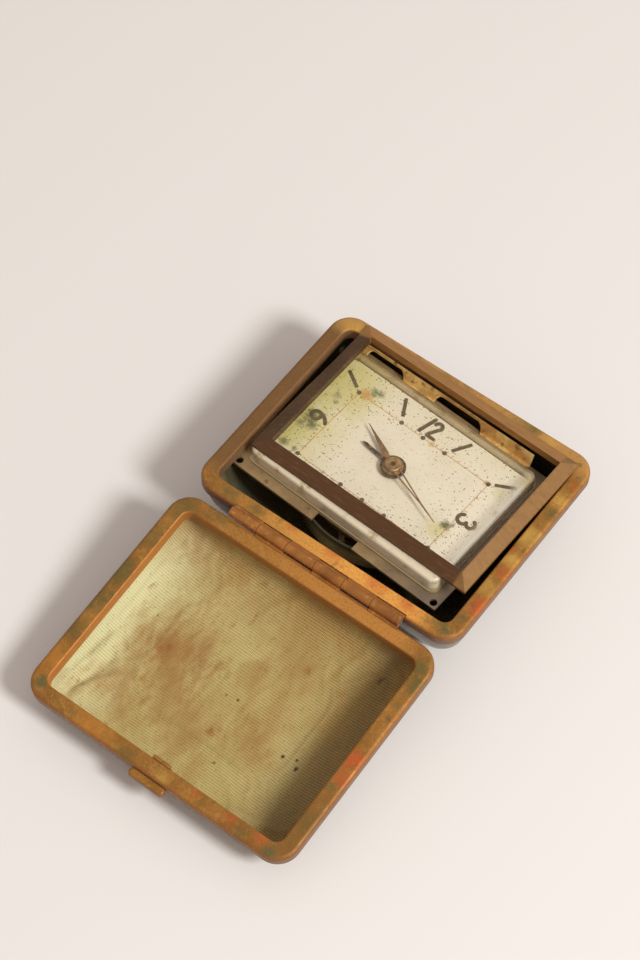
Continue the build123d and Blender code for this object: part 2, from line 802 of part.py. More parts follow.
def hand_plane(angle, level):
    """Plane on the clock at a level, with its Y along a hand pointing at the angle."""
    turn = radians(clock_yaw - angle)
    return Plane(origin=clock_plane.from_local_coords((0, 0, level)),
                 x_dir=(cos(turn), sin(turn), 0), z_dir=(0, 0, 1))


# Alarm hand: a plain pointer on a wide cup
with BuildPart() as alarm_hand:
    with BuildSketch(hand_plane(alarm_hand_angle, alarm_hand_level)):
        with BuildLine():
            Polyline((-alarm_hand_width / 2, 0), (alarm_hand_width / 2, 0),
                     (alarm_hand_width / 2, alarm_hand_length - alarm_hand_width),
                     (0, alarm_hand_length), (-alarm_hand_width / 2, alarm_hand_length - alarm_hand_width),
                     close=True)
        make_face()
        Circle(alarm_cup_radius)
        Circle(alarm_pipe_radius + arbor_fit, mode=Mode.SUBTRACT)
    extrude(amount=hand_sheet)
    with BuildSketch(hand_plane(alarm_hand_angle, alarm_hand_level)):
        Circle(alarm_cup_radius)
        Circle(alarm_cup_radius - hand_rib, mode=Mode.SUBTRACT)
    extrude(amount=2 * hand_sheet)
finish(alarm_hand, "alarm_hand")

# Hour hand: a slim dauphine
with BuildPart() as hour_hand:
    with BuildSketch(hand_plane(hour_hand_angle, hour_hand_level)):
        with BuildLine():
            Polyline((0, 0), (hour_hand_width / 2, hour_shoulder),
                     (hand_tip / 2, hour_hand_length), (-hand_tip / 2, hour_hand_length),
                     (-hour_hand_width / 2, hour_shoulder), close=True)
        make_face()
        Circle(hour_hub_radius)
        Circle(hour_pipe_radius + arbor_fit, mode=Mode.SUBTRACT)
    extrude(amount=hand_sheet)
finish(hour_hand, "hour_hand")

# Minute hand: two prongs that meet past the middle
with BuildPart() as minute_hand:
    with BuildSketch(hand_plane(minute_hand_angle, minute_hand_level)):
        with BuildLine():
            Polyline((0, 0), (minute_hand_width / 2, 0), (minute_hand_width / 2, minute_hub_radius),
                     (hand_join, minute_merge), (hand_tip / 2, minute_hand_length),
                     (-hand_tip / 2, minute_hand_length), (-hand_join, minute_merge),
                     (-minute_hand_width / 2, minute_hub_radius), (-minute_hand_width / 2, 0), close=True)
        make_face()
        with BuildLine():
            Polyline((hand_rib - minute_hand_width / 2, fork_start),
                     (minute_hand_width / 2 - hand_rib, fork_start),
                     (0, minute_merge * fork_share), close=True)
        make_face(mode=Mode.SUBTRACT)
    extrude(amount=hand_sheet)
    with BuildSketch(hand_plane(minute_hand_angle, minute_hand_level)):
        Circle(minute_hub_radius)
    extrude(amount=minute_hub_height)
    fillet(minute_hand.edges().group_by(Axis.Z)[-1], minute_hub_height * hub_round_share)
    with BuildSketch(hand_plane(minute_hand_angle, minute_hand_level)):
        Circle(centre_arbor_radius + arbor_fit)
    extrude(amount=minute_hub_height, mode=Mode.SUBTRACT)
finish(minute_hand, "minute_hand")

# Mounting plate with empty corner holes and a notch at six o'clock
with BuildPart() as mounting_plate:
    with BuildSketch(clock_plane.offset(plate_top - plate_thickness)):
        RectangleRounded(plate_width, plate_depth, plate_corner)
        with GridLocations(plate_hole_span_x, plate_hole_span_y, 2, 2):
            Circle(plate_hole_radius, mode=Mode.SUBTRACT)
        Circle(plate_opening_radius, mode=Mode.SUBTRACT)
        with Locations((0, -plate_depth / 2)):
            Rectangle(plate_notch_width, 2 * plate_notch_depth, mode=Mode.SUBTRACT)
    extrude(amount=plate_thickness)
finish(mounting_plate, "mounting_plate")

# Movement plates, with a pivot hole for every arbor
front_holes = [(centre_place, centre_arbor_radius), (third_place, arbor_radius),
               (fourth_place, arbor_radius), (escape_place, arbor_radius),
               (pallet_place, arbor_radius), (balance_place, arbor_radius),
               (hammer_place, arbor_radius), (motion_place, arbor_radius),
               (time_barrel_place, barrel_arbor_radius), (alarm_barrel_place, barrel_arbor_radius),
               (alarm_set_place, alarm_arbor_radius)]
back_holes = [hole for hole in front_holes if hole[0] != motion_place]
front_plate_low = front_plate_top - plate_sheet
back_plate_low = back_plate_top - plate_sheet
for name, low, holes in (("front_plate", front_plate_low, front_holes),
                         ("back_plate", back_plate_low, back_holes)):
    with BuildPart() as movement_plate:
        with BuildSketch(clock_plane.offset(low)):
            Circle(movement_radius)
            for place, radius in holes:
                with Locations(place):
                    Circle(radius + pivot_clearance, mode=Mode.SUBTRACT)
        extrude(amount=plate_sheet)
    finish(movement_plate, name)

# Pillars between the plates and posts up to the mounting plate
with BuildPart() as pillars:
    with BuildSketch(clock_plane.offset(back_plate_top)):
        with Locations([on_dial(90 - angle, pillar_circle) for angle in pillar_angles]):
            Circle(pillar_radius)
    extrude(amount=front_plate_low - back_plate_top)
finish(pillars, "pillars")
with BuildPart() as dial_posts:
    with BuildSketch(clock_plane.offset(front_plate_top)):
        with Locations([on_dial(90 - angle, post_circle) for angle in post_angles]):
            Circle(pillar_radius)
    extrude(amount=plate_top - plate_thickness - front_plate_top)
finish(dial_posts, "dial_posts")

# Round can that rings as the alarm's bell
can_holes = [(centre_place, centre_arbor_radius), (alarm_set_place, alarm_arbor_radius),
             (time_barrel_place, barrel_arbor_radius), (alarm_barrel_place, barrel_arbor_radius)]
screw_places = [on_dial(90 - angle, pillar_circle) for angle in pillar_angles]
can_profile_plane = Plane(origin=clock_plane.origin, x_dir=clock_plane.x_dir, z_dir=-clock_plane.y_dir)
can_bend = can_round * can_round_share
can_inside = can_radius - can_wall
with BuildPart() as bell_can:
    with BuildSketch(can_profile_plane):
        with BuildLine():
            Polyline((0, can_bottom), (can_radius - can_round, can_bottom),
                     (can_radius - can_bend, can_bottom + can_bend),
                     (can_radius, can_bottom + can_round), (can_radius, can_top), (can_inside, can_top),
                     (can_inside, can_bottom + can_round),
                     (can_inside - can_bend, can_bottom + can_wall + can_bend),
                     (can_inside - can_round + can_wall, can_bottom + can_wall),
                     (0, can_bottom + can_wall), close=True)
        make_face()
    revolve(axis=Axis(clock_plane.origin, clock_plane.z_dir))
    with BuildSketch(clock_plane.offset(can_bottom - cut_overrun)):
        for place, radius in can_holes:
            with Locations(place):
                Circle(radius + can_bore_clearance)
    extrude(amount=can_wall + 2 * cut_overrun, mode=Mode.SUBTRACT)
finish(bell_can, "bell_can")
can_back_top = can_bottom + can_wall
with BuildPart() as can_spacers:
    with BuildSketch(clock_plane.offset(can_back_top)):
        with Locations(screw_places):
            Circle(pillar_radius)
    extrude(amount=back_plate_low - can_back_top)
finish(can_spacers, "can_spacers")
with BuildPart() as back_screws:
    with BuildSketch(clock_plane.offset(can_bottom - back_screw_height)):
        with Locations(screw_places):
            Circle(back_screw_radius)
    extrude(amount=back_screw_height)
    with BuildSketch(clock_plane.offset(can_bottom - back_screw_height)):
        with Locations(screw_places):
            Rectangle(2 * back_screw_radius, back_screw_slot)
    extrude(amount=back_screw_slot_depth, mode=Mode.SUBTRACT)
finish(back_screws, "back_screws")


def gear_points(place, radius, teeth):
    """Corner points of a toothed disc at its place on the clock."""
    points = []
    step = 360 / teeth
    for tooth in range(teeth):
        for share, reach in ((0, radius - tooth_height), (tooth_share * tooth_flank_share, radius),
                             (tooth_share, radius),
                             (tooth_share * (1 + tooth_flank_share), radius - tooth_height)):
            x, y = on_dial(step * (tooth + share), reach)
            points.append((place[0] + x, place[1] + y))
    return points


def train_wheel(place, wheel_radius, level, teeth, pinion_radius, pinion_low):
    """Arbor with a spoked wheel and its pinion, running between the movement plates."""
    with BuildPart() as piece:
        with BuildSketch(clock_plane.offset(back_plate_low + arbor_end_play)):
            with Locations(place):
                Circle(arbor_radius)
        extrude(amount=front_plate_top - back_plate_low - 2 * arbor_end_play)
        with BuildSketch(clock_plane.offset(level)):
            with BuildLine():
                Polyline(*gear_points(place, wheel_radius, teeth), close=True)
            make_face()
            with Locations(place):
                with PolarLocations((wheel_radius + pinion_radius) / 2, crossings):
                    Circle((wheel_radius - pinion_radius) * crossing_share, mode=Mode.SUBTRACT)
        extrude(amount=wheel_sheet)
        with BuildSketch(clock_plane.offset(pinion_low)):
            with Locations(place):
                Circle(pinion_radius)
        extrude(amount=pinion_length)
    return piece


# Going train
third_wheel = train_wheel(third_place, third_wheel_radius, third_wheel_level, third_wheel_teeth,
                          third_pinion_radius, third_pinion_low)
finish(third_wheel, "third_wheel")
fourth_wheel = train_wheel(fourth_place, fourth_wheel_radius, fourth_wheel_level, fourth_wheel_teeth,
                           fourth_pinion_radius, fourth_pinion_low)
finish(fourth_wheel, "fourth_wheel")
escape_wheel = train_wheel(escape_place, escape_wheel_radius, escape_wheel_level, escape_wheel_teeth,
                           escape_pinion_radius, escape_pinion_low)
finish(escape_wheel, "escape_wheel")

# Centre arbor with its pinion, the cannon pinion and the hand-setting knob
with BuildPart() as centre_arbor:
    for radius, low, high in ((centre_arbor_radius, knob_low, centre_arbor_top),
                              (centre_pinion_radius, centre_pinion_low, centre_pinion_high),
                              (cannon_radius, cannon_low, cannon_high)):
        with BuildSketch(clock_plane.offset(low)):
            Circle(radius)
        extrude(amount=high - low)
    with BuildSketch(clock_plane.offset(knob_low)):
        Circle(set_knob_radius)
        with PolarLocations(set_knob_radius, set_knob_flutes):
            Circle(knob_flute_radius, mode=Mode.SUBTRACT)
    extrude(amount=knob_high - knob_low)
finish(centre_arbor, "centre_arbor")
with BuildPart() as centre_wheel:
    with BuildSketch(clock_plane.offset(centre_wheel_level)):
        with BuildLine():
            Polyline(*gear_points(centre_place, centre_wheel_radius, centre_wheel_teeth), close=True)
        make_face()
        with PolarLocations((centre_wheel_radius + centre_pinion_radius) / 2, crossings):
            Circle((centre_wheel_radius - centre_pinion_radius) * crossing_share, mode=Mode.SUBTRACT)
        Circle(centre_arbor_radius + arbor_fit, mode=Mode.SUBTRACT)
    extrude(amount=wheel_sheet)
finish(centre_wheel, "centre_wheel")


def pipe_wheel(radius, level, teeth, bore, pipe_radius, pipe_top):
    """Toothed wheel on a pipe that runs over the arbor inside it."""
    with BuildPart() as piece:
        with BuildSketch(clock_plane.offset(level)):
            with BuildLine():
                Polyline(*gear_points(centre_place, radius, teeth), close=True)
            make_face()
            Circle(bore, mode=Mode.SUBTRACT)
        extrude(amount=wheel_sheet)
        with BuildSketch(clock_plane.offset(level)):
            Circle(pipe_radius)
            Circle(bore, mode=Mode.SUBTRACT)
        extrude(amount=pipe_top - level)
    return piece


# Motion work under the dial
hour_wheel = pipe_wheel(hour_wheel_radius, hour_wheel_level, hour_wheel_teeth,
                        hour_pipe_bore, hour_pipe_radius, hour_pipe_top)
finish(hour_wheel, "hour_wheel")
alarm_wheel = pipe_wheel(alarm_wheel_radius, alarm_wheel_level, alarm_wheel_teeth,
                         alarm_pipe_bore, alarm_pipe_radius, alarm_pipe_top)
finish(alarm_wheel, "alarm_wheel")
with BuildPart() as motion_wheel:
    with BuildSketch(clock_plane.offset(front_plate_low + arbor_end_play)):
        with Locations(motion_place):
            Circle(arbor_radius)
    extrude(amount=motion_pinion_top - front_plate_low - arbor_end_play)
    with BuildSketch(clock_plane.offset(motion_wheel_level)):
        with BuildLine():
            Polyline(*gear_points(motion_place, motion_wheel_radius, motion_wheel_teeth), close=True)
        make_face()
    extrude(amount=wheel_sheet)
    with BuildSketch(clock_plane.offset(motion_wheel_level)):
        with Locations(motion_place):
            Circle(motion_pinion_radius)
    extrude(amount=motion_pinion_top - motion_wheel_level)
finish(motion_wheel, "motion_wheel")

# Alarm-setting knob on its long arbor
with BuildPart() as alarm_set_knob:
    for radius, low, high in ((alarm_arbor_radius, knob_low, alarm_pinion_high),
                              (alarm_pinion_radius, alarm_pinion_low, alarm_pinion_high)):
        with BuildSketch(clock_plane.offset(low)):
            with Locations(alarm_set_place):
                Circle(radius)
        extrude(amount=high - low)
    with BuildSketch(clock_plane.offset(knob_low)):
        with Locations(alarm_set_place):
            Circle(alarm_knob_radius)
            with PolarLocations(alarm_knob_radius, alarm_knob_flutes):
                Circle(knob_flute_radius, mode=Mode.SUBTRACT)
    extrude(amount=knob_high - knob_low)
finish(alarm_set_knob, "alarm_set_knob")

# Lever with its two pallet arms and a stem to the balance
stem_angle = 90 - degrees(atan2(balance_place[1] - pallet_place[1], balance_place[0] - pallet_place[0]))
with BuildPart() as pallet_lever:
    with BuildSketch(clock_plane.offset(back_plate_low + arbor_end_play)):
        with Locations(pallet_place):
            Circle(arbor_radius)
    extrude(amount=front_plate_top - back_plate_low - 2 * arbor_end_play)
    with BuildSketch(clock_plane.offset(pallet_level)):
        with Locations(Location(pallet_place, -stem_angle)):
            Circle(pallet_hub)
            with Locations((0, pallet_stem / 2)):
                Rectangle(pallet_stem_width, pallet_stem)
            Rectangle(2 * pallet_arm, pallet_arm_width)
    extrude(amount=wheel_sheet)
finish(pallet_lever, "pallet_lever")

# Balance wheel on its staff
with BuildPart() as balance_wheel:
    with BuildSketch(clock_plane.offset(back_plate_low + arbor_end_play)):
        with Locations(balance_place):
            Circle(arbor_radius)
    extrude(amount=front_plate_top - back_plate_low - 2 * arbor_end_play)
    with BuildSketch(clock_plane.offset(balance_level)):
        with Locations(balance_place):
            Circle(balance_radius)
            Circle(balance_radius - balance_rim, mode=Mode.SUBTRACT)
            Rectangle(2 * balance_radius - balance_rim, balance_rim)
    extrude(amount=balance_sheet)
    with BuildSketch(clock_plane.offset(roller_low)):
        with Locations(balance_place):
            Circle(roller_radius)
    extrude(amount=roller_high - roller_low)
finish(balance_wheel, "balance_wheel")


def barrel(place, radius, gear, teeth):
    """Mainspring barrel: toothed edge, drum and lid, running on its arbor."""
    with BuildPart() as piece:
        with BuildSketch(clock_plane.offset(barrel_low)):
            with BuildLine():
                Polyline(*gear_points(place, gear, teeth), close=True)
            make_face()
        extrude(amount=barrel_tooth_sheet)
        with BuildSketch(clock_plane.offset(barrel_low)):
            with Locations(place):
                Circle(radius)
        extrude(amount=barrel_high - barrel_low)
        with BuildSketch(clock_plane.offset(barrel_low + barrel_wall)):
            with Locations(place):
                Circle(radius - barrel_wall)
        extrude(amount=barrel_high - barrel_low - 2 * barrel_wall, mode=Mode.SUBTRACT)
        with BuildSketch(clock_plane.offset(barrel_low)):
            with Locations(place):
                Circle(barrel_arbor_radius + pivot_clearance)
        extrude(amount=barrel_high - barrel_low, mode=Mode.SUBTRACT)
    return piece


def winding_key(place, turn):
    """Butterfly winding key on the barrel's arbor."""
    with BuildPart() as piece:
        with BuildSketch(clock_plane.offset(key_low)):
            with Locations(place):
                Circle(barrel_arbor_radius)
        extrude(amount=front_plate_top - arbor_end_play - key_low)
        with BuildSketch(clock_plane.offset(key_wing_top)):
            with Locations(place):
                Circle(key_hub_radius)
        extrude(amount=key_hub_top - key_wing_top)
        with BuildSketch(clock_plane.offset(key_low)):
            with Locations(Location(place, turn)):
                Circle(key_waist)
                wing = key_wing_height / 2
                with Locations((key_span / 2 - wing, 0), (wing - key_span / 2, 0)):
                    Circle(wing)
                    Circle(key_wing_hole, mode=Mode.SUBTRACT)
        extrude(amount=key_wing_top - key_low)
    return piece


# Barrels and winding keys
time_barrel = barrel(time_barrel_place, time_barrel_radius, time_barrel_gear, time_barrel_teeth)
finish(time_barrel, "time_barrel")
alarm_barrel = barrel(alarm_barrel_place, alarm_barrel_radius, alarm_barrel_gear, alarm_barrel_teeth)
finish(alarm_barrel, "alarm_barrel")
time_key = winding_key(time_barrel_place, time_key_turn)
finish(time_key, "time_key")
alarm_key = winding_key(alarm_barrel_place, alarm_key_turn)
finish(alarm_key, "alarm_key")

# Alarm hammer
with BuildPart() as alarm_hammer:
    with BuildSketch(clock_plane.offset(back_plate_low + arbor_end_play)):
        with Locations(hammer_place):
            Circle(arbor_radius)
    extrude(amount=front_plate_top - back_plate_low - 2 * arbor_end_play)
    with BuildSketch(clock_plane.offset(hammer_level)):
        with Locations(Location(hammer_place, hammer_angle)):
            with Locations((hammer_arm / 2, 0)):
                Rectangle(hammer_arm, hammer_arm_width)
            Circle(hammer_arm_width)
    extrude(amount=hammer_sheet)
    with BuildSketch(clock_plane.offset(hammer_level)):
        with Locations(Location(hammer_place, hammer_angle)):
            with Locations((hammer_arm, 0)):
                Circle(hammer_head_radius)
    extrude(amount=hammer_head_height)
finish(alarm_hammer, "alarm_hammer")
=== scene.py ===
"""The folding travel alarm clock dressed for the studio: patinated rims, lacquered shells,
ribbed cloth, a yellowed crystal over an aged dial, and the wheel work in its can."""
import math
import bpy
import bmesh
from mathutils import Matrix, Vector


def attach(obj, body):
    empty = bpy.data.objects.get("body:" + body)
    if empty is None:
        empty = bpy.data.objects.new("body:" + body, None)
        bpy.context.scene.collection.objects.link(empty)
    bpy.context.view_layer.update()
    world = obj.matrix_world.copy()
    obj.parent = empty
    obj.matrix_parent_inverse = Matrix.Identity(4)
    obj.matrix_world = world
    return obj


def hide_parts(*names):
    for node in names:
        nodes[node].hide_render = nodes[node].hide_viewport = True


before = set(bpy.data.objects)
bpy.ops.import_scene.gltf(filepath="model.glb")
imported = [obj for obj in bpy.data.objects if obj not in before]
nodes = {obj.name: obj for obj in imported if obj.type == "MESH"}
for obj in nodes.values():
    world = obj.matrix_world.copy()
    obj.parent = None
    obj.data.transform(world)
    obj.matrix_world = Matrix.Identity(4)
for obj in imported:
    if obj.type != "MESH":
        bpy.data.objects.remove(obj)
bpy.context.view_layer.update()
mm = 0.001
scene = bpy.context.scene


# The camera stands in front of the open clock, to the right, and looks down at about 58 degrees.
# Its place and its 144 mm lens come from fitting the case's corners in the photograph.
def stand(name, data):
    """A new object in the scene."""
    made = bpy.data.objects.new(name, data)
    scene.collection.objects.link(made)
    return made


camera_lens = bpy.data.cameras.new("clock_camera")
camera_lens.sensor_fit = "HORIZONTAL"
camera_lens.sensor_width = 36.0
camera_lens.lens = 144.24
camera_lens.clip_start = 0.02
camera = stand("clock_camera", camera_lens)
camera_place = (0.1917, -0.3083, 0.6041)
right = Vector((0.8022, 0.5968, 0.0168))
up = Vector((-0.5155, 0.6782, 0.5238))
back = right.cross(up).normalized()
up = back.cross(right).normalized()
right.normalize()
camera.matrix_world = (Matrix.Translation(camera_place)
                       @ Matrix((right, up, back)).transposed().to_4x4())
scene.camera = camera
scene.view_settings.view_transform = "Standard"


# A warm white sheet of paper under the clock. Its finish is plain, so the pieces' colours
# and the soft shadow to the left read as they do on a light table.
def start_finish(name):
    """A new finish with its node tree and its main shader."""
    finish = bpy.data.materials.new(name)
    finish.use_nodes = True
    return finish, finish.node_tree, finish.node_tree.nodes["Principled BSDF"]


def put(owner, kind, values=None, **wires):
    """Add a node to the owner's tree, set its values and wire its inputs. The owner is a tree or
    one of its sockets. Geometry nodes are named in full."""
    tree = owner.id_data
    made = tree.nodes.new(kind if kind.startswith("GeometryNode") else "ShaderNode" + kind)
    for key, value in (values or {}).items():
        if key in made.inputs:
            made.inputs[key].default_value = value
        else:
            setattr(made, key, value)
    for key, source in wires.items():
        tree.links.new(source, made.inputs[key.replace("_", " ")])
    return made


paper, _, paper_shader = start_finish("warm_paper")
paper_shader.inputs["Base Color"].default_value = (0.86, 0.815, 0.78, 1)
paper_shader.inputs["Roughness"].default_value = 0.9
paper_shader.inputs["Specular IOR Level"].default_value = 0.1
paper_reach = 4.0
paper_drop = 0.05 * mm
sheet_mesh = bpy.data.meshes.new("paper")
sheet_mesh.from_pydata([(side_x * paper_reach, side_y * paper_reach, -paper_drop)
                        for side_x, side_y in ((-1, -1), (1, -1), (1, 1), (-1, 1))], [],
                        [(0, 1, 2, 3)])
sheet_mesh.materials.append(paper)
paper_sheet = stand("paper", sheet_mesh)

# One large soft lamp on the right, almost in line with the hinge, and an even pale room.
# The lamp is low enough to throw the case's shadow to the left as in the photograph.
lamp_slope = math.radians(43)
lamp_distance = 1.6
lamp_aim = Vector((0, -0.03, 0))
lamp = bpy.data.lights.new("window_lamp", "AREA")
lamp.shape = "DISK"
lamp.size = 0.42
lamp.energy = 19.8
lamp.color = (0.95, 0.985, 0.985)
lamp_stand = stand("window_lamp", lamp)
lamp_way = (Vector((0.99, -0.02, 0.0)).normalized() * math.cos(lamp_slope)
            + Vector((0, 0, math.sin(lamp_slope))))
lamp_stand.location = lamp_aim + lamp_way * lamp_distance
lamp_stand.rotation_euler = lamp_way.to_track_quat("Z", "Y").to_euler()
room = bpy.data.worlds.new("pale_room")
room.use_nodes = True
scene.world = room
room_light = room.node_tree.nodes["Background"]
room_light.inputs["Color"].default_value = (1.0, 0.905, 0.845, 1)
room_light.inputs["Strength"].default_value = 0.52


# The rims are brass channel, plated in copper colour and worn by decades of pockets: orange
# brown on top, olive where the plating has turned, red along the outer edge, pitted in places.
def start_piece(name):
    """A new finish with its main shader and the piece's own coordinates in metres."""
    finish, tree, shader = start_finish(name)
    return finish, shader, put(tree, "TexCoord").outputs["Object"]


def feed(slot, value):
    """Set an input to a plain value, or wire a socket to it."""
    if isinstance(value, bpy.types.NodeSocket):
        slot.id_data.links.new(value, slot)
    else:
        slot.default_value = value


def paint(shader, tone, **others):
    """Wire the tone to the main shader and give its other inputs a number or a socket."""
    feed(shader.inputs["Base Color"], tone)
    for key, value in others.items():
        feed(shader.inputs[key.replace("_", " ")], value)


def mingle(factor, first, second):
    """Mix two colours, each a colour or a socket, by a factor socket."""
    made = put(factor, "Mix", {"data_type": "RGBA"})
    feed(made.inputs[0], factor)
    for place, value in ((6, first), (7, second)):
        feed(made.inputs[place], value + (1,) if isinstance(value, tuple) else value)
    return made.outputs[2]


def ramp(source, start, end, low=0.0, high=1.0):
    """A factor that goes from low to high while its source goes from start to end."""
    return put(source, "MapRange", {"From Min": start, "From Max": end, "To Min": low,
                                    "To Max": high}, Value=source).outputs[0]


def cloud(where, size, detail=4.0, rough=0.55, low=0.4, high=0.6, warp=0.0):
    """Soft patches about that size in metres, as a factor from 0 to 1 between the two limits."""
    noise = put(where, "TexNoise", {"Scale": 1.0 / size, "Detail": detail, "Roughness": rough,
                                    "Distortion": warp}, Vector=where)
    return ramp(noise.outputs["Fac"], low, high)


def reckon(work, first, *others):
    """Arithmetic on a socket and other numbers or sockets."""
    made = put(first, "Math", {"operation": work})
    for slot, value in zip(made.inputs, (first, *others)):
        feed(slot, value)
    return made.outputs[0]


def combine(work, first, second):
    """Arithmetic on two factors, the second one a number or a socket, kept from 0 to 1."""
    made = reckon(work, first, second)
    made.node.use_clamp = work in ("ADD", "MULTIPLY", "SUBTRACT")
    return made


def times(first, second):
    """One factor times another."""
    return combine("MULTIPLY", first, second)


def cover(tone, factor, strength, colour):
    """Lay a colour over a tone where the factor is high, at that strength."""
    return mingle(times(factor, strength), tone, colour)


def vector_work(work, first, second, result="Value"):
    """Arithmetic on two vectors, the second one a place or a socket."""
    made = put(first, "VectorMath", {"operation": work}, Vector=first)
    feed(made.inputs[1], second)
    return made.outputs[result]


def roughen(shader, height, depth, strength=1.0):
    """Give the finish a relief of that depth in metres from a height factor."""
    relief = put(height, "Bump", {"Distance": depth, "Strength": strength}, Height=height)
    feed(shader.inputs["Normal"], relief.outputs["Normal"])


def dress(finish, *names):
    """Give a finish to the turned and pressed pieces of those names."""
    for name in names:
        for place in nodes[name].material_slots:
            place.material = finish


def stretched(where, scale, turn=0.0):
    """Coordinates turned about Z and scaled, for patterns drawn out along one way."""
    values = {"Rotation": (0, 0, turn), "Scale": scale}
    return put(where, "Mapping", values, Vector=where).outputs[0]


def axis_of(where, axis):
    """One coordinate of a vector."""
    return put(where, "SeparateXYZ", Vector=where).outputs[axis]


def spot_range(where, axis, start, end):
    """A factor that rises from 0 to 1 between two places along an axis, in metres."""
    return ramp(axis_of(where, axis), start, end)


def marks(where, tone, rows, wobble=0.8, grain=None):
    """Uneven round marks worked into a tone: each a colour, a centre and a radius in millimetres,
    a strength, and how far in the mark reaches its full strength."""
    wide_mark, coarse, fine = 3.5, 380.0, 1150.0
    pushes = {}
    for colour, centre, radius, strength, edge in rows:
        scale = coarse if radius > wide_mark else fine
        if scale not in pushes:
            noise = put(where, "TexNoise", {"Scale": scale, "Detail": 6.0, "Roughness": 0.68},
                        Vector=grain or where)
            pushes[scale] = ramp(noise.outputs["Fac"], 0.0, 1.0, -wobble, wobble)
        away = vector_work("DISTANCE", where, [part * mm for part in centre])
        reach = reckon("MULTIPLY_ADD", away, 1.0 / (radius * mm), pushes[scale])
        tone = mingle(ramp(reach, 1.0, edge, 0.0, strength), tone, colour)
    return tone


rim_finish, shader, where = start_piece("copper_patina")
normal = put(where, "TexCoord").outputs["Normal"]
facing = axis_of(normal, "Z")
tone = mingle(cloud(where, 0.009, 5, 0.6, 0.38, 0.62), (0.415, 0.182, 0.034), (0.3, 0.128, 0.023))
tone = mingle(cloud(where, 0.0021, 3, 0.7, 0.5, 0.75), tone, (0.5, 0.245, 0.052))
# Both rim bars beside the hinge are made brighter, the base's bar more than the lid's.
hinge_band = times(spot_range(where, "Y", -0.05, -0.0455), spot_range(where, "Y", -0.0255, -0.0285))
hinge_band_width = times(spot_range(where, "X", -0.036, 0.006), spot_range(where, "X", 0.037, 0.029))
hinge_band = times(hinge_band, hinge_band_width)
hinge_band_tone = mingle(spot_range(where, "Y", -0.037, -0.035), (0.58, 0.245, 0.05), (0.92, 0.42, 0.085))
tone = cover(tone, hinge_band, 0.95, hinge_band_tone)
tone = cover(tone, cloud(where, 0.0007, 4, 0.7, 0.48, 0.62), 0.32, (0.17, 0.085, 0.022))
dark_side = times(spot_range(where, "X", -0.03, -0.0365), spot_range(where, "Y", -0.032, -0.026))
tone = cover(tone, dark_side, 0.85, (0.2, 0.1, 0.038))
tone = cover(tone, spot_range(where, "Y", 0.026, 0.031), 0.8, (0.6, 0.315, 0.09))
tone = cover(tone, cloud(where, 0.011, 6, 0.66, 0.55, 0.65, 0.6), 0.6, (0.165, 0.12, 0.03))
# The lid's right bar is darker towards its near end.
darker_right_end = times(spot_range(where, "X", 0.03, 0.037), spot_range(where, "Y", -0.074, -0.092))
tone = cover(tone, darker_right_end, 0.75, (0.235, 0.112, 0.026))
olive, green = (0.15, 0.112, 0.03), (0.105, 0.12, 0.042)
red, orange = (0.56, 0.105, 0.026), (0.6, 0.235, 0.034)
gold, crust = (0.7, 0.4, 0.085), (0.085, 0.06, 0.022)
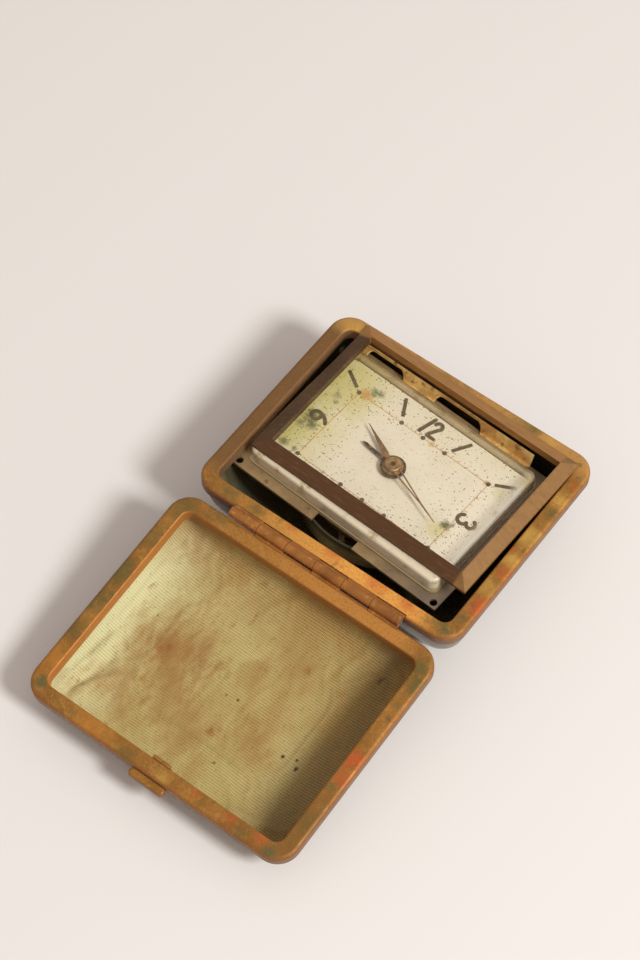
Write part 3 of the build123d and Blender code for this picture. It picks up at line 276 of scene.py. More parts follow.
rim_marks = (
    (olive, (-41.0, -66.5, 16.9), 6.0, 0.8, 0.2), (olive, (-41.2, -75.0, 15.9), 5.5, 0.8, 0.2),
    (olive, (-41.2, -86.0, 14.5), 4.5, 0.75, 0.2), (olive, (-40.6, -53.7, 18.5), 6.0, 0.65, 0.1),
    (green, (-41.4, -64.0, 17.2), 2.2, 0.7, 0.2), (green, (-41.4, -79.0, 15.4), 2.0, 0.6, 0.2),
    (green, (-38.6, -102.7, 12.5), 2.4, 0.85, 0.3), (olive, (-39.5, -42.5, 19.9), 6.5, 0.7, 0.1),
    (orange, (-40.0, -95.3, 13.4), 6.0, 0.55, 0.1), (green, (-26.6, -104.7, 12.2), 1.6, 0.55, 0.2),
    (orange, (-19.7, -105.6, 12.1), 7.0, 0.65, 0.1), (olive, (-8.0, -105.8, 12.1), 3.5, 0.6, 0.2),
    (olive, (38.8, -43.8, 19.7), 4.4, 0.85, 0.2), (olive, (41.0, -48.5, 19.3), 4.0, 0.8, 0.2),
    (crust, (40.4, -59.5, 17.8), 1.5, 0.6, 0.3), (olive, (40.6, -55.5, 18.3), 2.2, 0.6, 0.2),
    (red, (40.1, -73.6, 16.1), 4.4, 0.8, 0.2), (red, (40.3, -79.0, 15.4), 3.2, 0.65, 0.2),
    (green, (39.4, -82.4, 15.0), 1.8, 0.55, 0.2), (green, (36.9, -105.2, 12.2), 2.8, 0.8, 0.2),
    (red, (23.9, -103.4, 12.5), 3.2, 0.6, 0.1), (red, (33.2, -102.9, 12.5), 3.4, 0.6, 0.1),
    (red, (12.7, -103.2, 12.5), 2.4, 0.55, 0.1), (gold, (3.0, -105.0, 12.2), 3.5, 0.55, 0.1),
    (olive, (28.0, -105.8, 12.2), 4.0, 0.55, 0.2), (olive, (40.4, -93.0, 13.8), 4.5, 0.4, 0.1),
    (green, (38.2, 31.3, 21.6), 1.1, 0.9, 0.4), (green, (40.1, 27.5, 21.6), 1.0, 0.85, 0.4),
    (green, (41.4, 29.3, 21.6), 0.8, 0.85, 0.4), (red, (40.6, 24.5, 21.6), 1.6, 0.65, 0.2),
    (gold, (40.2, 18.6, 21.6), 3.4, 0.75, 0.2), (olive, (40.8, 13.9, 21.6), 3.2, 0.8, 0.2),
    (gold, (40.0, 4.6, 21.6), 4.8, 0.8, 0.1), (gold, (40.2, -4.0, 21.6), 4.0, 0.7, 0.1),
    (red, (38.4, -0.9, 21.6), 1.6, 0.75, 0.2), (red, (41.2, -8.5, 21.6), 3.2, 0.6, 0.1),
    (gold, (39.6, -14.5, 21.6), 3.6, 0.6, 0.1), (green, (39.9, -21.2, 21.6), 1.3, 0.9, 0.4),
    (red, (42.0, -20.8, 21.3), 4.2, 0.85, 0.1), (olive, (39.6, -26.2, 21.6), 2.6, 0.65, 0.2),
    (green, (38.2, -31.9, 21.6), 2.4, 0.8, 0.2), (red, (-11.4, -29.9, 21.6), 2.6, 0.6, 0.1),
    (red, (1.5, -29.9, 21.6), 4.2, 0.65, 0.1), (red, (16.5, -29.8, 21.6), 4.8, 0.8, 0.1),
    (red, (26.2, -31.0, 21.6), 3.8, 0.75, 0.1), (olive, (-22.6, -32.0, 21.6), 3.6, 0.7, 0.2),
    (olive, (-31.0, -32.0, 21.6), 4.4, 0.55, 0.2), (gold, (-35.6, 29.5, 21.6), 4.6, 0.8, 0.1),
    (crust, (-36.4, 27.0, 21.6), 1.4, 0.85, 0.3), (olive, (-6.0, 32.0, 21.6), 5.0, 0.5, 0.1),
    (olive, (20.0, 32.6, 21.6), 5.0, 0.6, 0.1), (gold, (28.0, 32.4, 21.6), 3.0, 0.6, 0.1))
tone = marks(where, tone, rim_marks)
tone = cover(tone, ramp(facing, 0.93, 0.55), 0.6, (0.3, 0.095, 0.03))
tone = cover(tone, ramp(facing, 0.35, 0.05), 0.7, (0.215, 0.145, 0.1))
# The inner walls are painted: on the lid bright orange, partly the copper's colour and partly
# painted light where the lamp strikes them, and along the lid's hinge side dark olive, as painted
# shade; the base's inner walls are painted a little darker, as painted shade.
along_case = axis_of(where, "Y")
tray_middle = put(where, "CombineXYZ", Y=ramp(along_case, -0.036, -0.0365, 0.0, -0.0712)).outputs[0]
outward = vector_work("SUBTRACT", where, tray_middle, "Vector")
mouth = ramp(vector_work("DOT_PRODUCT", outward, normal), -0.004, -0.012)
mouth = times(mouth, ramp(along_case, -0.0355, -0.0365, 0.25, 0.85))
shaded_hinge_wall = times(spot_range(where, "Y", -0.045, -0.04), 0.85)
tone = mingle(mouth, tone, mingle(shaded_hinge_wall, (0.56, 0.205, 0.038), (0.2, 0.105, 0.026)))
grains = put(where, "TexVoronoi", {"Scale": 2400.0}, Vector=where).outputs["Distance"]
rough_spots = cloud(where, 0.0075, 6, 0.7, 0.52, 0.62)
pits = times(ramp(grains, 0.34, 0.14), rough_spots)
tone = cover(tone, pits, 0.8, (0.085, 0.072, 0.028))
fine = put(where, "TexNoise", {"Scale": 4200.0, "Detail": 2.0}, Vector=where).outputs["Fac"]
tone = cover(tone, ramp(fine, 0.64, 0.74), 0.55, (0.72, 0.46, 0.16))
paint(shader, tone, Metallic=0.3, Specular_IOR_Level=0.3,
      Roughness=ramp(cloud(where, 0.004, 5, 0.65, 0.3, 0.7), 0.0, 1.0, 0.4, 0.66))
roughen(shader, combine("SUBTRACT", cloud(where, 0.0012, 4, 0.6, 0.2, 0.8), pits), 0.00007, 0.6)
dress(rim_finish, "base_rim", "lid_rim", "lid_thumb_lip", "lid_catch_tab")


# The shells are pressed brass trays, lacquered taupe brown outside. The press leaves a soft
# pillow with a flat middle, so the walls follow one smooth curve down from the rim.
case_half = (42.5, 34.7)
rim_corner = 6.5
wall_inset = 0.86
shell_sheet = 0.7
straight_lip = 1.0
corner_ease = 0.8
pillow_inset = 15.0
corner_growth = 5.5
base_depth = 21.0
lid_depth = 13.34
drops = (0.0, 0.22, 0.4, 0.56, 0.7, 0.8, 0.88, 0.945, 0.985, 1.0)
insets = (0.0, 0.012, 0.043, 0.105, 0.2, 0.325, 0.48, 0.68, 0.85, 1.0)
lid_tilt = math.radians(7.0)
hinge_reach = 36.3 * mm
hinge_height = 20.65 * mm
lid_sink = 0.6 * mm
base_frame = Matrix.Translation((0, 0, base_depth * mm))
lid_frame = (Matrix.Translation((0, -hinge_reach, hinge_height)) @ Matrix.Rotation(lid_tilt, 4, "X")
             @ Matrix.Translation((0, -hinge_reach, -lid_sink)))


def slopes(xs, ys):
    """Gentle slopes for a smooth curve through points that never overshoots them."""
    steps = [(b - a) / (d - c) for a, b, c, d in zip(ys, ys[1:], xs, xs[1:])]
    inner = [0.0 if a * b <= 0 else 2 * a * b / (a + b) for a, b in zip(steps, steps[1:])]
    return [steps[0], *inner, steps[-1]]


def along(xs, ys, x):
    """Height of that smooth curve at x."""
    turns = slopes(xs, ys)
    for place in range(len(xs) - 1):
        if x <= xs[place + 1] or place == len(xs) - 2:
            span = xs[place + 1] - xs[place]
            t = min(max((x - xs[place]) / span, 0.0), 1.0)
            return ((2 * t ** 3 - 3 * t * t + 1) * ys[place]
                    + (t ** 3 - 2 * t * t + t) * span * turns[place]
                    + (3 * t * t - 2 * t ** 3) * ys[place + 1]
                    + (t ** 3 - t * t) * span * turns[place + 1])


def rounded_outline(half_x, half_y, corner, steps=10):
    """Points round a rectangle with rounded corners."""
    points = []
    for turn, (side_x, side_y) in enumerate(((1, 1), (-1, 1), (-1, -1), (1, -1))):
        for step in range(steps + 1):
            angle = math.radians(90 * (turn + step / steps))
            points.append((side_x * (half_x - corner) + corner * math.cos(angle),
                           side_y * (half_y - corner) + corner * math.sin(angle)))
    return points


def tray_edge(inward, lift):
    """Inset and corner radius of a tray where its curve has run inward by that share."""
    return (wall_inset + lift + inward * pillow_inset,
            rim_corner - corner_ease - lift + inward * corner_growth)


def pressed_wall(depth, thickness, stations=26):
    """Rings of points from the edge of a pressed tray down to its flat middle."""
    rings = []
    for station in range(stations + 1):
        share = station / stations
        drop = straight_lip + share * (depth - thickness - straight_lip)
        inset, corner = tray_edge(along(drops, insets, share), thickness)
        outline = rounded_outline(case_half[0] - inset, case_half[1] - inset, corner)
        rings.append([Vector((x, y, -drop)) * mm for x, y in outline])
    return rings


def pressed_shell(name, depth, place, body, replaced, finish):
    """The whole tray as one closed skin: outer wall, inner wall and the lip between them."""
    mesh = bpy.data.meshes.new(name)
    skin = bmesh.new()
    rows = pressed_wall(depth, 0.0) + list(reversed(pressed_wall(depth, shell_sheet)))
    half = len(rows) // 2
    corners = [[skin.verts.new(place @ point) for point in row] for row in rows]
    count = len(corners[0])
    for row in range(len(corners)):
        if row == half - 1:
            continue
        upper, lower = corners[row], corners[(row + 1) % len(corners)]
        for i in range(count):
            after = (i + 1) % count
            skin.faces.new((upper[i], upper[after], lower[after], lower[i]))
    skin.faces.new(corners[half - 1])
    skin.faces.new(corners[half])
    bmesh.ops.recalc_face_normals(skin, faces=skin.faces[:])
    for face in skin.faces:
        face.smooth = True
    skin.to_mesh(mesh)
    skin.free()
    mesh.materials.append(finish)
    shell = stand(name, mesh)
    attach(shell, body)
    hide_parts(replaced)


shell_finish, shader, where = start_piece("taupe_lacquer")
tone = mingle(cloud(where, 0.014, 5, 0.55, 0.35, 0.65), (0.235, 0.185, 0.145), (0.16, 0.12, 0.09))
scuffs = stretched(where, (1.0, 9.0, 9.0), 0.5)
tone = cover(tone, cloud(scuffs, 0.006, 3, 0.6, 0.58, 0.72), 0.5, (0.42, 0.31, 0.22))
tone = cover(tone, cloud(where, 0.003, 6, 0.7, 0.6, 0.72), 0.8, (0.38, 0.2, 0.09))
paint(shader, tone, Metallic=0.35, Coat_Weight=0.35, Coat_Roughness=0.18,
      Roughness=ramp(cloud(where, 0.005, 5, 0.6, 0.3, 0.7), 0.0, 1.0, 0.26, 0.48))
roughen(shader, cloud(where, 0.0016, 5, 0.6, 0.2, 0.8), 0.00004, 0.4)
pressed_shell("pressed_base_shell", base_depth, base_frame, "base", "base_shell", shell_finish)
pressed_shell("pressed_lid_shell", lid_depth, lid_frame, "lid", "lid_shell", shell_finish)


# The linings are ribbed silk-like cloth in faded gold, glued into the trays with a thin pad
# under it. The rib runs along the hinge. Each piece is cut a little large and eased in.
lining_lift = 1.22
lining_top = 3.45
cloth_thickness = 0.28
cloth_scale = 20.0
bed_gap = 0.17
contact_gap = 0.002
most_moved = 0.45
most_sunk = 0.1
last_tick = 22
shrinking = -0.022
weave_unit = 100
rib_pitch = 0.75
weft_pitch = 0.4


def tray_share(x, y, lift):
    """How far across the pillow's curve a point lies: 0 under the rim, 1 on the flat floor."""
    halvings = 18
    low, high = 0.0, 1.0
    for _ in range(halvings):
        share = (low + high) / 2
        inset, corner = tray_edge(share, lift)
        over_x = abs(x) - case_half[0] + inset + corner
        over_y = abs(y) - case_half[1] + inset + corner
        outside = math.hypot(max(over_x, 0.0), max(over_y, 0.0)) + min(max(over_x, over_y), 0.0)
        low, high = (low, share) if outside > corner else (share, high)
    return high


def tray_drop(x, y, depth, lift):
    """How far the inside of a tray lies below its rim at a point, a lift above the metal."""
    down = min(along(insets, drops, tray_share(x, y, lift)), 1.0)
    return straight_lip + down * (depth - lift - straight_lip)


def lining_rows(half, depth, count):
    """Even steps along the cloth from edge to edge, as distances across the tray."""
    def drop_at(at):
        x, y = (at, 0) if half == case_half[0] else (0, at)
        return tray_drop(x, y, depth, lining_lift)

    fine = 600
    edge = half - wall_inset - lining_lift
    places, run = [edge], [0.0]
    last = (edge, drop_at(edge))
    for step in range(1, fine + 1):
        at = edge * (1 - step / fine)
        drop = drop_at(at)
        run.append(run[-1] + math.hypot(at - last[0], drop - last[1]))
        places.append(at)
        last = (at, drop)
    start = next(r for r, at in zip(run, places) if drop_at(at) >= lining_top)
    rows = []
    for step in range(count + 1):
        want = start + (run[-1] - start) * step / count
        rows.append(places[next((k for k, r in enumerate(run) if r >= want - 1e-9), fine)])
    length = 2 * (run[-1] - start)
    return [-at for at in rows] + [at for at in reversed(rows[:-1])], length


def fold_distance(x, y, x1, y1, x2, y2):
    """Distance of a point from the line of a fold."""
    run_x, run_y = x2 - x1, y2 - y1
    share = min(max(((x - x1) * run_x + (y - y1) * run_y) / (run_x ** 2 + run_y ** 2), 0.0), 1.0)
    return math.hypot(x - x1 - share * run_x, y - y1 - share * run_y)


def ribbed_lining(name, depth, place, body, replaced, finish, count, folds):
    """A cloth panel eased into a tray: laid on the form, then settled by a cloth simulation."""
    xs, cut_width = lining_rows(case_half[0], depth, count)
    ys, cut_length = lining_rows(case_half[1], depth, int(count * case_half[1] / case_half[0]))
    mesh = bpy.data.meshes.new(name)
    points, threads = [], []
    corner = tray_edge(tray_share(xs[-1], 0, lining_lift), lining_lift)[1]
    for j, y in enumerate(ys):
        for i, x in enumerate(xs):
            over_x, over_y = (abs(x) - xs[-1]) / corner + 1, (abs(y) - ys[-1]) / corner + 1
            at_x, at_y = x, y
            if over_x > 0 and over_y > 0:
                round_x = corner * over_x * math.sqrt(1 - over_y * over_y / 2)
                round_y = corner * over_y * math.sqrt(1 - over_x * over_x / 2)
                at_x = math.copysign(xs[-1] - corner + round_x, x)
                at_y = math.copysign(ys[-1] - corner + round_y, y)
            fold = sum(height * math.exp(-(fold_distance(at_x, at_y, *line) / width) ** 2)
                       for line, width, height in folds)
            drop = max(tray_drop(at_x, at_y, depth, lining_lift), lining_top)
            points.append((at_x, at_y, fold - drop))
            threads.append((i / (len(xs) - 1) * cut_width, j / (len(ys) - 1) * cut_length))
    across = len(xs)
    quads = [(j * across + i, j * across + i + 1, (j + 1) * across + i + 1, (j + 1) * across + i)
             for j in range(len(ys) - 1) for i in range(across - 1)]
    mesh.from_pydata([Vector(p) * mm * cloth_scale for p in points], [], quads)
    cloth = stand(name, mesh)
    held = cloth.vertex_groups.new(name="tucked_edge")
    held.add([j * across + i for j in range(len(ys)) for i in range(across)
              if i in (0, across - 1) or j in (0, len(ys) - 1)], 1.0, "REPLACE")
    bed_mesh = bpy.data.meshes.new("tray_bed")
    under = [Vector((x, y, z - bed_gap)) * mm * cloth_scale for x, y, z in points]
    bed_mesh.from_pydata(under, [], quads)
    bed = stand("tray_bed", bed_mesh)
    bed.modifiers.new("bed", "COLLISION")
    bed.collision.thickness_outer = contact_gap
    bed.collision.cloth_friction = 20
    settle = cloth.modifiers.new("settle", "CLOTH")
    for key, value in (("quality", 6), ("mass", 0.25), ("tension_stiffness", 12),
                       ("compression_stiffness", 12), ("bending_stiffness", 0.35),
                       ("shrink_min", shrinking), ("shrink_max", shrinking),
                       ("vertex_group_mass", held.name)):
        setattr(settle.settings, key, value)
    settle.collision_settings.distance_min = contact_gap
    settle.collision_settings.use_self_collision = False
    for tick in range(1, last_tick + 1):
        scene.frame_set(tick)
    settled = bpy.data.meshes.new_from_object(
        cloth.evaluated_get(bpy.context.evaluated_depsgraph_get()))
    for vertex, point in zip(settled.vertices, points):
        start = Vector(point) * mm * cloth_scale
        moved = vertex.co - start
        limit = most_moved * mm * cloth_scale
        if moved.length > limit:
            moved *= limit / moved.length
        moved.z = max(moved.z, -most_sunk * mm * cloth_scale)
        vertex.co = start + moved
    cloth.modifiers.remove(settle)
    cloth.data = settled
    bpy.data.objects.remove(bed)
    scene.frame_set(1)
    mesh = cloth.data
    mesh.transform(place @ Matrix.Scale(1 / cloth_scale, 4))
    weave = mesh.uv_layers.new(name="weave")
    for face in mesh.polygons:
        face.use_smooth = True
        for corner in face.loop_indices:
            u, v = threads[mesh.loops[corner].vertex_index]
            weave.data[corner].uv = (u / weave_unit, v / weave_unit)
    mesh.materials.clear()
    mesh.materials.append(finish)
    skin = cloth.modifiers.new("cloth_thickness", "SOLIDIFY")
    skin.thickness = cloth_thickness * mm
    skin.offset = 0
    smooth = cloth.modifiers.new("cloth_smoothing", "SUBSURF")
    smooth.levels = smooth.render_levels = 1
    area = sum(face.area for face in mesh.polygons)
    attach(cloth, body)
    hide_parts(replaced)
    return cloth, (cut_width * mm, cut_length * mm), area


def thread_bands(threads, pitch, direction, values):
    """Even bands over the cloth, one for each thread of that pitch in millimetres."""
    return put(threads, "TexWave", {"Scale": weave_unit / pitch / 20 * math.tau,
                                    "wave_type": "BANDS", "bands_direction": direction,
                                    "wave_profile": "SIN", **values}, Vector=threads).outputs["Fac"]


lining_finish, shader, where = start_piece("faded_ribbed_cloth")
threads = put(where, "UVMap", {"uv_map": "weave"}).outputs[0]
rib = thread_bands(threads, rib_pitch, "Y",
                   {"Distortion": 0.35, "Detail": 1.0, "Detail Scale": 1.5})
weft = thread_bands(threads, weft_pitch, "X", {"Distortion": 0.6, "Detail": 2.0})
tone = mingle(cloud(where, 0.022, 4, 0.5, 0.35, 0.65), (0.6, 0.475, 0.18), (0.51, 0.385, 0.122))
# Painted light: the lining's left side, whose slope faces the lamp, is painted paler and greener.
tone = mingle(spot_range(where, "X", -0.02, -0.037), tone, (0.74, 0.69, 0.37))
# Along the hinge side the lining takes brown patches, partly stain and partly painted shade under
# the hinge-side rim. Its right side is painted dark brown, as painted shade where the right rim
# shades the cloth.
hinge_side_stain_and_shade = times(spot_range(where, "Y", -0.06, -0.042), cloud(where, 0.012, 5, 0.6, 0.3, 0.55))
shaded_right_side = times(spot_range(where, "X", 0.017, 0.032), 0.85)
streaked = stretched(where, (1.0, 0.45, 1.0))
tone = cover(tone, hinge_side_stain_and_shade, 0.8, (0.37, 0.175, 0.036))
tone = mingle(shaded_right_side, tone, (0.2, 0.118, 0.036))
tone = cover(tone, cloud(streaked, 0.012, 6, 0.66, 0.48, 0.66), 0.7, (0.41, 0.225, 0.052))
tone = cover(tone, cloud(streaked, 0.0036, 7, 0.74, 0.58, 0.7), 0.8, (0.34, 0.15, 0.034))
# Painted shade: the base's lining, deep under the movement, is painted almost black, less so near
# the hinge.
inside = spot_range(where, "Y", -0.035, -0.0335)
shaded_well = times(inside, combine("MAXIMUM", spot_range(where, "Y", -0.031, -0.024), 0.55))
even = ramp(cloud(where, 0.01, 3, 0.5, 0.3, 0.7), 0.0, 1.0, 0.16, 0.34)
shade = ramp(rib, 0.0, 0.55, 1.0, 0.0)
tone = cover(tone, shade, even, (0.22, 0.15, 0.045))
gleam = times(ramp(rib, 0.6, 1.0), ramp(weft, 0.45, 1.0))
tone = cover(tone, gleam, 0.45, (0.82, 0.79, 0.5))
rust, brown, soot = (0.32, 0.125, 0.03), (0.37, 0.185, 0.048), (0.05, 0.038, 0.016)
lining_marks = (
    (brown, (-19.0, -71.0, 3.5), 15.0, 0.8, 0.2), (rust, (-22.5, -72.0, 3.3), 6.0, 0.5, 0.0),
    (rust, (-14.0, -69.0, 3.5), 7.0, 0.5, 0.0), (brown, (-5.0, -85.0, 1.8), 13.0, 0.6, 0.1),
    (brown, (12.0, -80.0, 2.5), 9.0, 0.6, 0.1), (brown, (-24.0, -88.0, 1.3), 8.0, 0.55, 0.1),
    (brown, (10.0, -58.0, 4.8), 9.0, 0.5, 0.1), (brown, (-33.6, -93.8, 0.7), 2.2, 0.9, 0.2),
    (brown, (-14.0, -82.0, 2.2), 9.0, 0.55, 0.1), (brown, (-20.0, -93.5, 0.8), 6.0, 0.55, 0.1),
    (brown, (2.0, -66.0, 4.0), 6.0, 0.45, 0.1), (soot, (-32.0, -48.3, 6.3), 1.7, 0.9, 0.5),
    (soot, (30.6, -47.3, 6.4), 2.2, 0.85, 0.4), (soot, (-29.3, -66.5, 4.0), 0.8, 0.9, 0.5),
    (soot, (-28.0, -65.8, 4.0), 0.5, 0.8, 0.5), (soot, (21.5, -78.6, 2.6), 0.7, 0.95, 0.5),
    (soot, (25.1, -77.3, 2.7), 0.6, 0.95, 0.5), (soot, (26.3, -79.4, 2.5), 0.9, 0.95, 0.5),
    (soot, (8.1, -90.3, 1.1), 0.7, 0.85, 0.5), (rust, (-23.5, -73.2, 3.2), 1.6, 0.9, 0.2),
    (rust, (-21.5, -71.6, 3.4), 1.4, 0.8, 0.2), (rust, (2.0, -84.0, 1.8), 1.6, 0.75, 0.3),
    (soot, (-35.5, -56.0, 5.0), 0.6, 0.8, 0.5), (rust, (12.5, -56.0, 5.0), 2.0, 0.65, 0.1),
    (soot, (2.5, -73.0, 3.3), 0.5, 0.8, 0.5), (soot, (-1.0, -73.5, 3.2), 0.5, 0.7, 0.5),
    (rust, (-31.5, -77.0, 2.6), 1.3, 0.6, 0.2))
tone = marks(where, tone, lining_marks, 0.9, streaked)
crumbs = put(where, "TexVoronoi", {"Scale": 52.0, "voronoi_dimensions": "2D"}, Vector=threads)
crumb = times(ramp(crumbs.outputs["Distance"], 0.11, 0.05),
              ramp(axis_of(crumbs.outputs["Color"], "X"), 0.55, 0.6))
tone = cover(tone, crumb, 0.6, (0.17, 0.085, 0.025))
# Painted shade laid over the base's lining.
tone = cover(tone, shaded_well, 0.9, (0.03, 0.026, 0.01))
paint(shader, tone, Roughness=0.6, Specular_IOR_Level=0.3, Sheen_Weight=0.12, Sheen_Roughness=0.4,
      Sheen_Tint=(0.95, 0.9, 0.55, 1))
weave_height = combine("ADD", times(rib, 0.7), times(weft, 0.3))
roughen(shader, weave_height, 0.00019, 0.85)
lid_folds = (((-37.8, -27.4, -34.4, -7.0), 1.2, 0.75), ((-35.2, -26.8, -31.6, -12.0), 1.3, -0.55),
             ((-33.0, -24.5, -27.5, -15.0), 1.4, 0.5), ((-36.8, -6.0, -36.4, 16.0), 1.5, 0.25),
             ((20.0, -27.5, 34.0, -25.0), 1.4, 0.3))
for name, depth, place, body, replaced, count, folds in (
        ("gold_lid_lining", lid_depth, lid_frame, "lid", "lid_lining", 44, lid_folds),
        ("gold_base_lining", base_depth, base_frame, "base", "base_lining", 34, ())):
    cloth, cut, area = ribbed_lining(name, depth, place, body, replaced, lining_finish, count,
                                     folds)


# The piano hinge is rolled brass: one leaf and three knuckles let into each rim, on a wire pin.
# Handling has left the rolls brown and smooth, lighter where they are rubbed.
hinge_finish, shader, where = start_piece("hinge_brown")
tone = mingle(cloud(where, 0.005, 5, 0.6, 0.35, 0.65), (0.48, 0.19, 0.046), (0.3, 0.118, 0.032))
tone = mingle(cloud(where, 0.0016, 4, 0.7, 0.58, 0.72), tone, (0.64, 0.32, 0.085))
paint(shader, tone, Metallic=0.4, Specular_IOR_Level=0.3, Roughness=0.42)
roughen(shader, cloud(where, 0.001, 4, 0.6, 0.2, 0.8), 0.00003, 0.5)
dress(hinge_finish, "base_hinge_leaf", "lid_hinge_leaf")

# Drawn and spring steel: the hinge wire, the pallet lever and the alarm's hammer.
# It is dull grey with brown tarnish, drawn out along its length.
steel_finish, shader, where = start_piece("dull_spring_steel")
drawn = stretched(where, (1.0, 7.0, 7.0))
tone = mingle(cloud(drawn, 0.003, 5, 0.6, 0.35, 0.65), (0.38, 0.36, 0.33), (0.27, 0.25, 0.22))
tone = mingle(cloud(where, 0.004, 5, 0.6, 0.56, 0.7), tone, (0.24, 0.14, 0.07))
paint(shader, tone, Metallic=0.85, Roughness=0.38)
roughen(shader, cloud(drawn, 0.0008, 3, 0.6, 0.2, 0.8), 0.00002, 0.5)
dress(steel_finish, "hinge_pin", "pallet_lever", "alarm_hammer")

# The gilt strip along the far wall is thin bright brass, folded, with long cut-outs.
# It has kept its colour behind the bezel, apart from brown spots.
gilt_finish, shader, where = start_piece("gilt_strip")
tone = mingle(cloud(where, 0.006, 5, 0.6, 0.4, 0.62), (1.0, 0.69, 0.25), (0.66, 0.35, 0.1))
tone = mingle(cloud(where, 0.0022, 5, 0.7, 0.56, 0.7), tone, (0.16, 0.07, 0.025))
paint(shader, tone, Metallic=0.4, Roughness=0.38)
roughen(shader, cloud(where, 0.0018, 4, 0.6, 0.2, 0.8), 0.00005, 0.5)
dress(gilt_finish, "far_strip")

# The bezel frame is mitred from folded brass and lacquered dark bronze. The lacquer is rubbed
# through to copper on the far bar, and darkest on the near one. The right bar, which faces the
# lamp, is painted lighter, as painted light.
def turned_place(where, centre, turn):
    """Coordinates along the sides of a piece that lies turned in the case."""
    values = {"vector_type": "TEXTURE", "Location": centre, "Rotation": (0, 0, turn)}
    return put(where, "Mapping", values, Vector=where).outputs[0]


bezel_finish, shader, where = start_piece("dark_bronze_lacquer")
brushed = stretched(where, (1.0, 5.0, 5.0), 0.04)
square = turned_place(where, (1.4 * mm, 6.8 * mm, 0), math.radians(-2.25))
tone = mingle(cloud(where, 0.012, 4, 0.5, 0.35, 0.65), (0.118, 0.064, 0.03), (0.082, 0.043, 0.02))
copper = mingle(cloud(brushed, 0.006, 5, 0.65, 0.3, 0.7), (0.46, 0.225, 0.068), (0.35, 0.17, 0.054))
tone = mingle(spot_range(square, "Y", 0.0205, 0.0215), tone, copper)
tone = mingle(spot_range(square, "Y", -0.0205, -0.0215), tone, (0.118, 0.054, 0.023))
# Painted light: the right bar, which faces the lamp, is painted a lighter copper brown.
lit_right_bar_tone = mingle(cloud(brushed, 0.005, 5, 0.65, 0.3, 0.7), (0.325, 0.168, 0.058),
                (0.255, 0.126, 0.044))
tone = mingle(spot_range(square, "X", 0.0315, 0.0325), tone, lit_right_bar_tone)
tone = cover(tone, cloud(brushed, 0.004, 5, 0.65, 0.52, 0.74), 0.35, (0.3, 0.15, 0.06))
tone = mingle(cloud(where, 0.0013, 3, 0.6, 0.68, 0.76), tone, (0.045, 0.026, 0.015))
paint(shader, tone, Metallic=0.35, Specular_IOR_Level=0.25,
      Roughness=ramp(cloud(brushed, 0.003, 4, 0.6, 0.3, 0.7), 0.0, 1.0, 0.32, 0.5))
roughen(shader, cloud(brushed, 0.0009, 4, 0.6, 0.2, 0.8), 0.00003, 0.4)
dress(bezel_finish, "bezel_frame")

# The crystal is a box moulded in clear plastic. Age has turned it straw yellow, most on the
# left, its walls are milky, and fine scratches cross its top. Its near edge and right edge are
# painted milky cream, as painted light where the bezel bars shade the dial. It still lets the
# lamp through to the dial.
def blend(share, first, second):
    """Mix two shaders by a factor socket."""
    made = put(share, "MixShader")
    for slot, value in zip(made.inputs, (share, first.outputs[0], second.outputs[0])):
        feed(slot, value)
    return made


clock_centre = (-2.4 * mm, 2.0 * mm, 0)
clock_turn = math.radians(-3.6)
crystal_finish, shader, where = start_piece("yellowed_crystal")
tint = mingle(spot_range(where, "X", -0.012, -0.036), (0.985, 0.965, 0.9), (0.95, 0.92, 0.74))
streaks = stretched(where, (1.0, 30.0, 1.0), 0.8)
scratches = ramp(cloud(streaks, 0.005, 2, 0.5, 0.6, 0.75), 0.0, 1.0, 0.02, 0.16)
paint(shader, tint, Transmission_Weight=1.0, IOR=1.49, Roughness=scratches)
lean = axis_of(put(where, "TexCoord").outputs["Normal"], "Z")
upright = ramp(combine("ABSOLUTE", lean, 0.0), 0.62, 0.25)
in_clock = turned_place(where, clock_centre, clock_turn)
far_wall = spot_range(in_clock, "Y", 0.015, 0.018)
away_from_near = spot_range(in_clock, "Y", -0.019, -0.018)
milky = put(where, "BsdfPrincipled", {"Roughness": 0.3, "Coat Weight": 0.3, "Coat Roughness": 0.1})
near_tone = mingle(away_from_near, (0.84, 0.7, 0.5), (0.95, 0.87, 0.7))
cast = mingle(far_wall, near_tone, (0.8, 0.66, 0.38))
cast = mingle(spot_range(where, "Z", 0.0166, 0.0163), cast, (0.26, 0.18, 0.085))
paint(milky, mingle(cloud(where, 0.004, 6, 0.7, 0.54, 0.68), cast, (0.4, 0.29, 0.12)))
# Painted light: the crystal's near edge and right edge are made milky cream, so they read bright
# where the bezel bars shade the dial beneath.
lit_near_edge = times(spot_range(in_clock, "Y", -0.015, -0.0175), 0.78)
lit_right_edge = times(spot_range(in_clock, "X", 0.0285, 0.032), 0.45)
milky_walls_and_lit_edges = times(upright, ramp(away_from_near, 0.0, 1.0, 0.35, 0.66))
milky_walls_and_lit_edges = combine("MAXIMUM", milky_walls_and_lit_edges, combine("MAXIMUM", lit_near_edge, lit_right_edge))
walled = blend(milky_walls_and_lit_edges, shader, milky)
clear = put(where, "BsdfTransparent", {"Color": (0.985, 0.975, 0.945, 1)})
rays = put(where, "LightPath").outputs
through = blend(combine("MAXIMUM", rays["Is Shadow Ray"], rays["Is Diffuse Ray"]), walled, clear)
feed(crystal_finish.node_tree.nodes["Material Output"].inputs["Surface"], through.outputs[0])
dress(crystal_finish, "crystal")

# The dial is a thin brass pan in cream lacquer, gone yellow-green along its left side and in
# spots where damp crept in, with fine dark specks all over.
dial_finish, shader, in_case = start_piece("aged_cream_dial")
where = turned_place(in_case, clock_centre, clock_turn)
tone = mingle(cloud(where, 0.01, 4, 0.5, 0.3, 0.7), (0.9, 0.825, 0.715), (0.83, 0.745, 0.6))
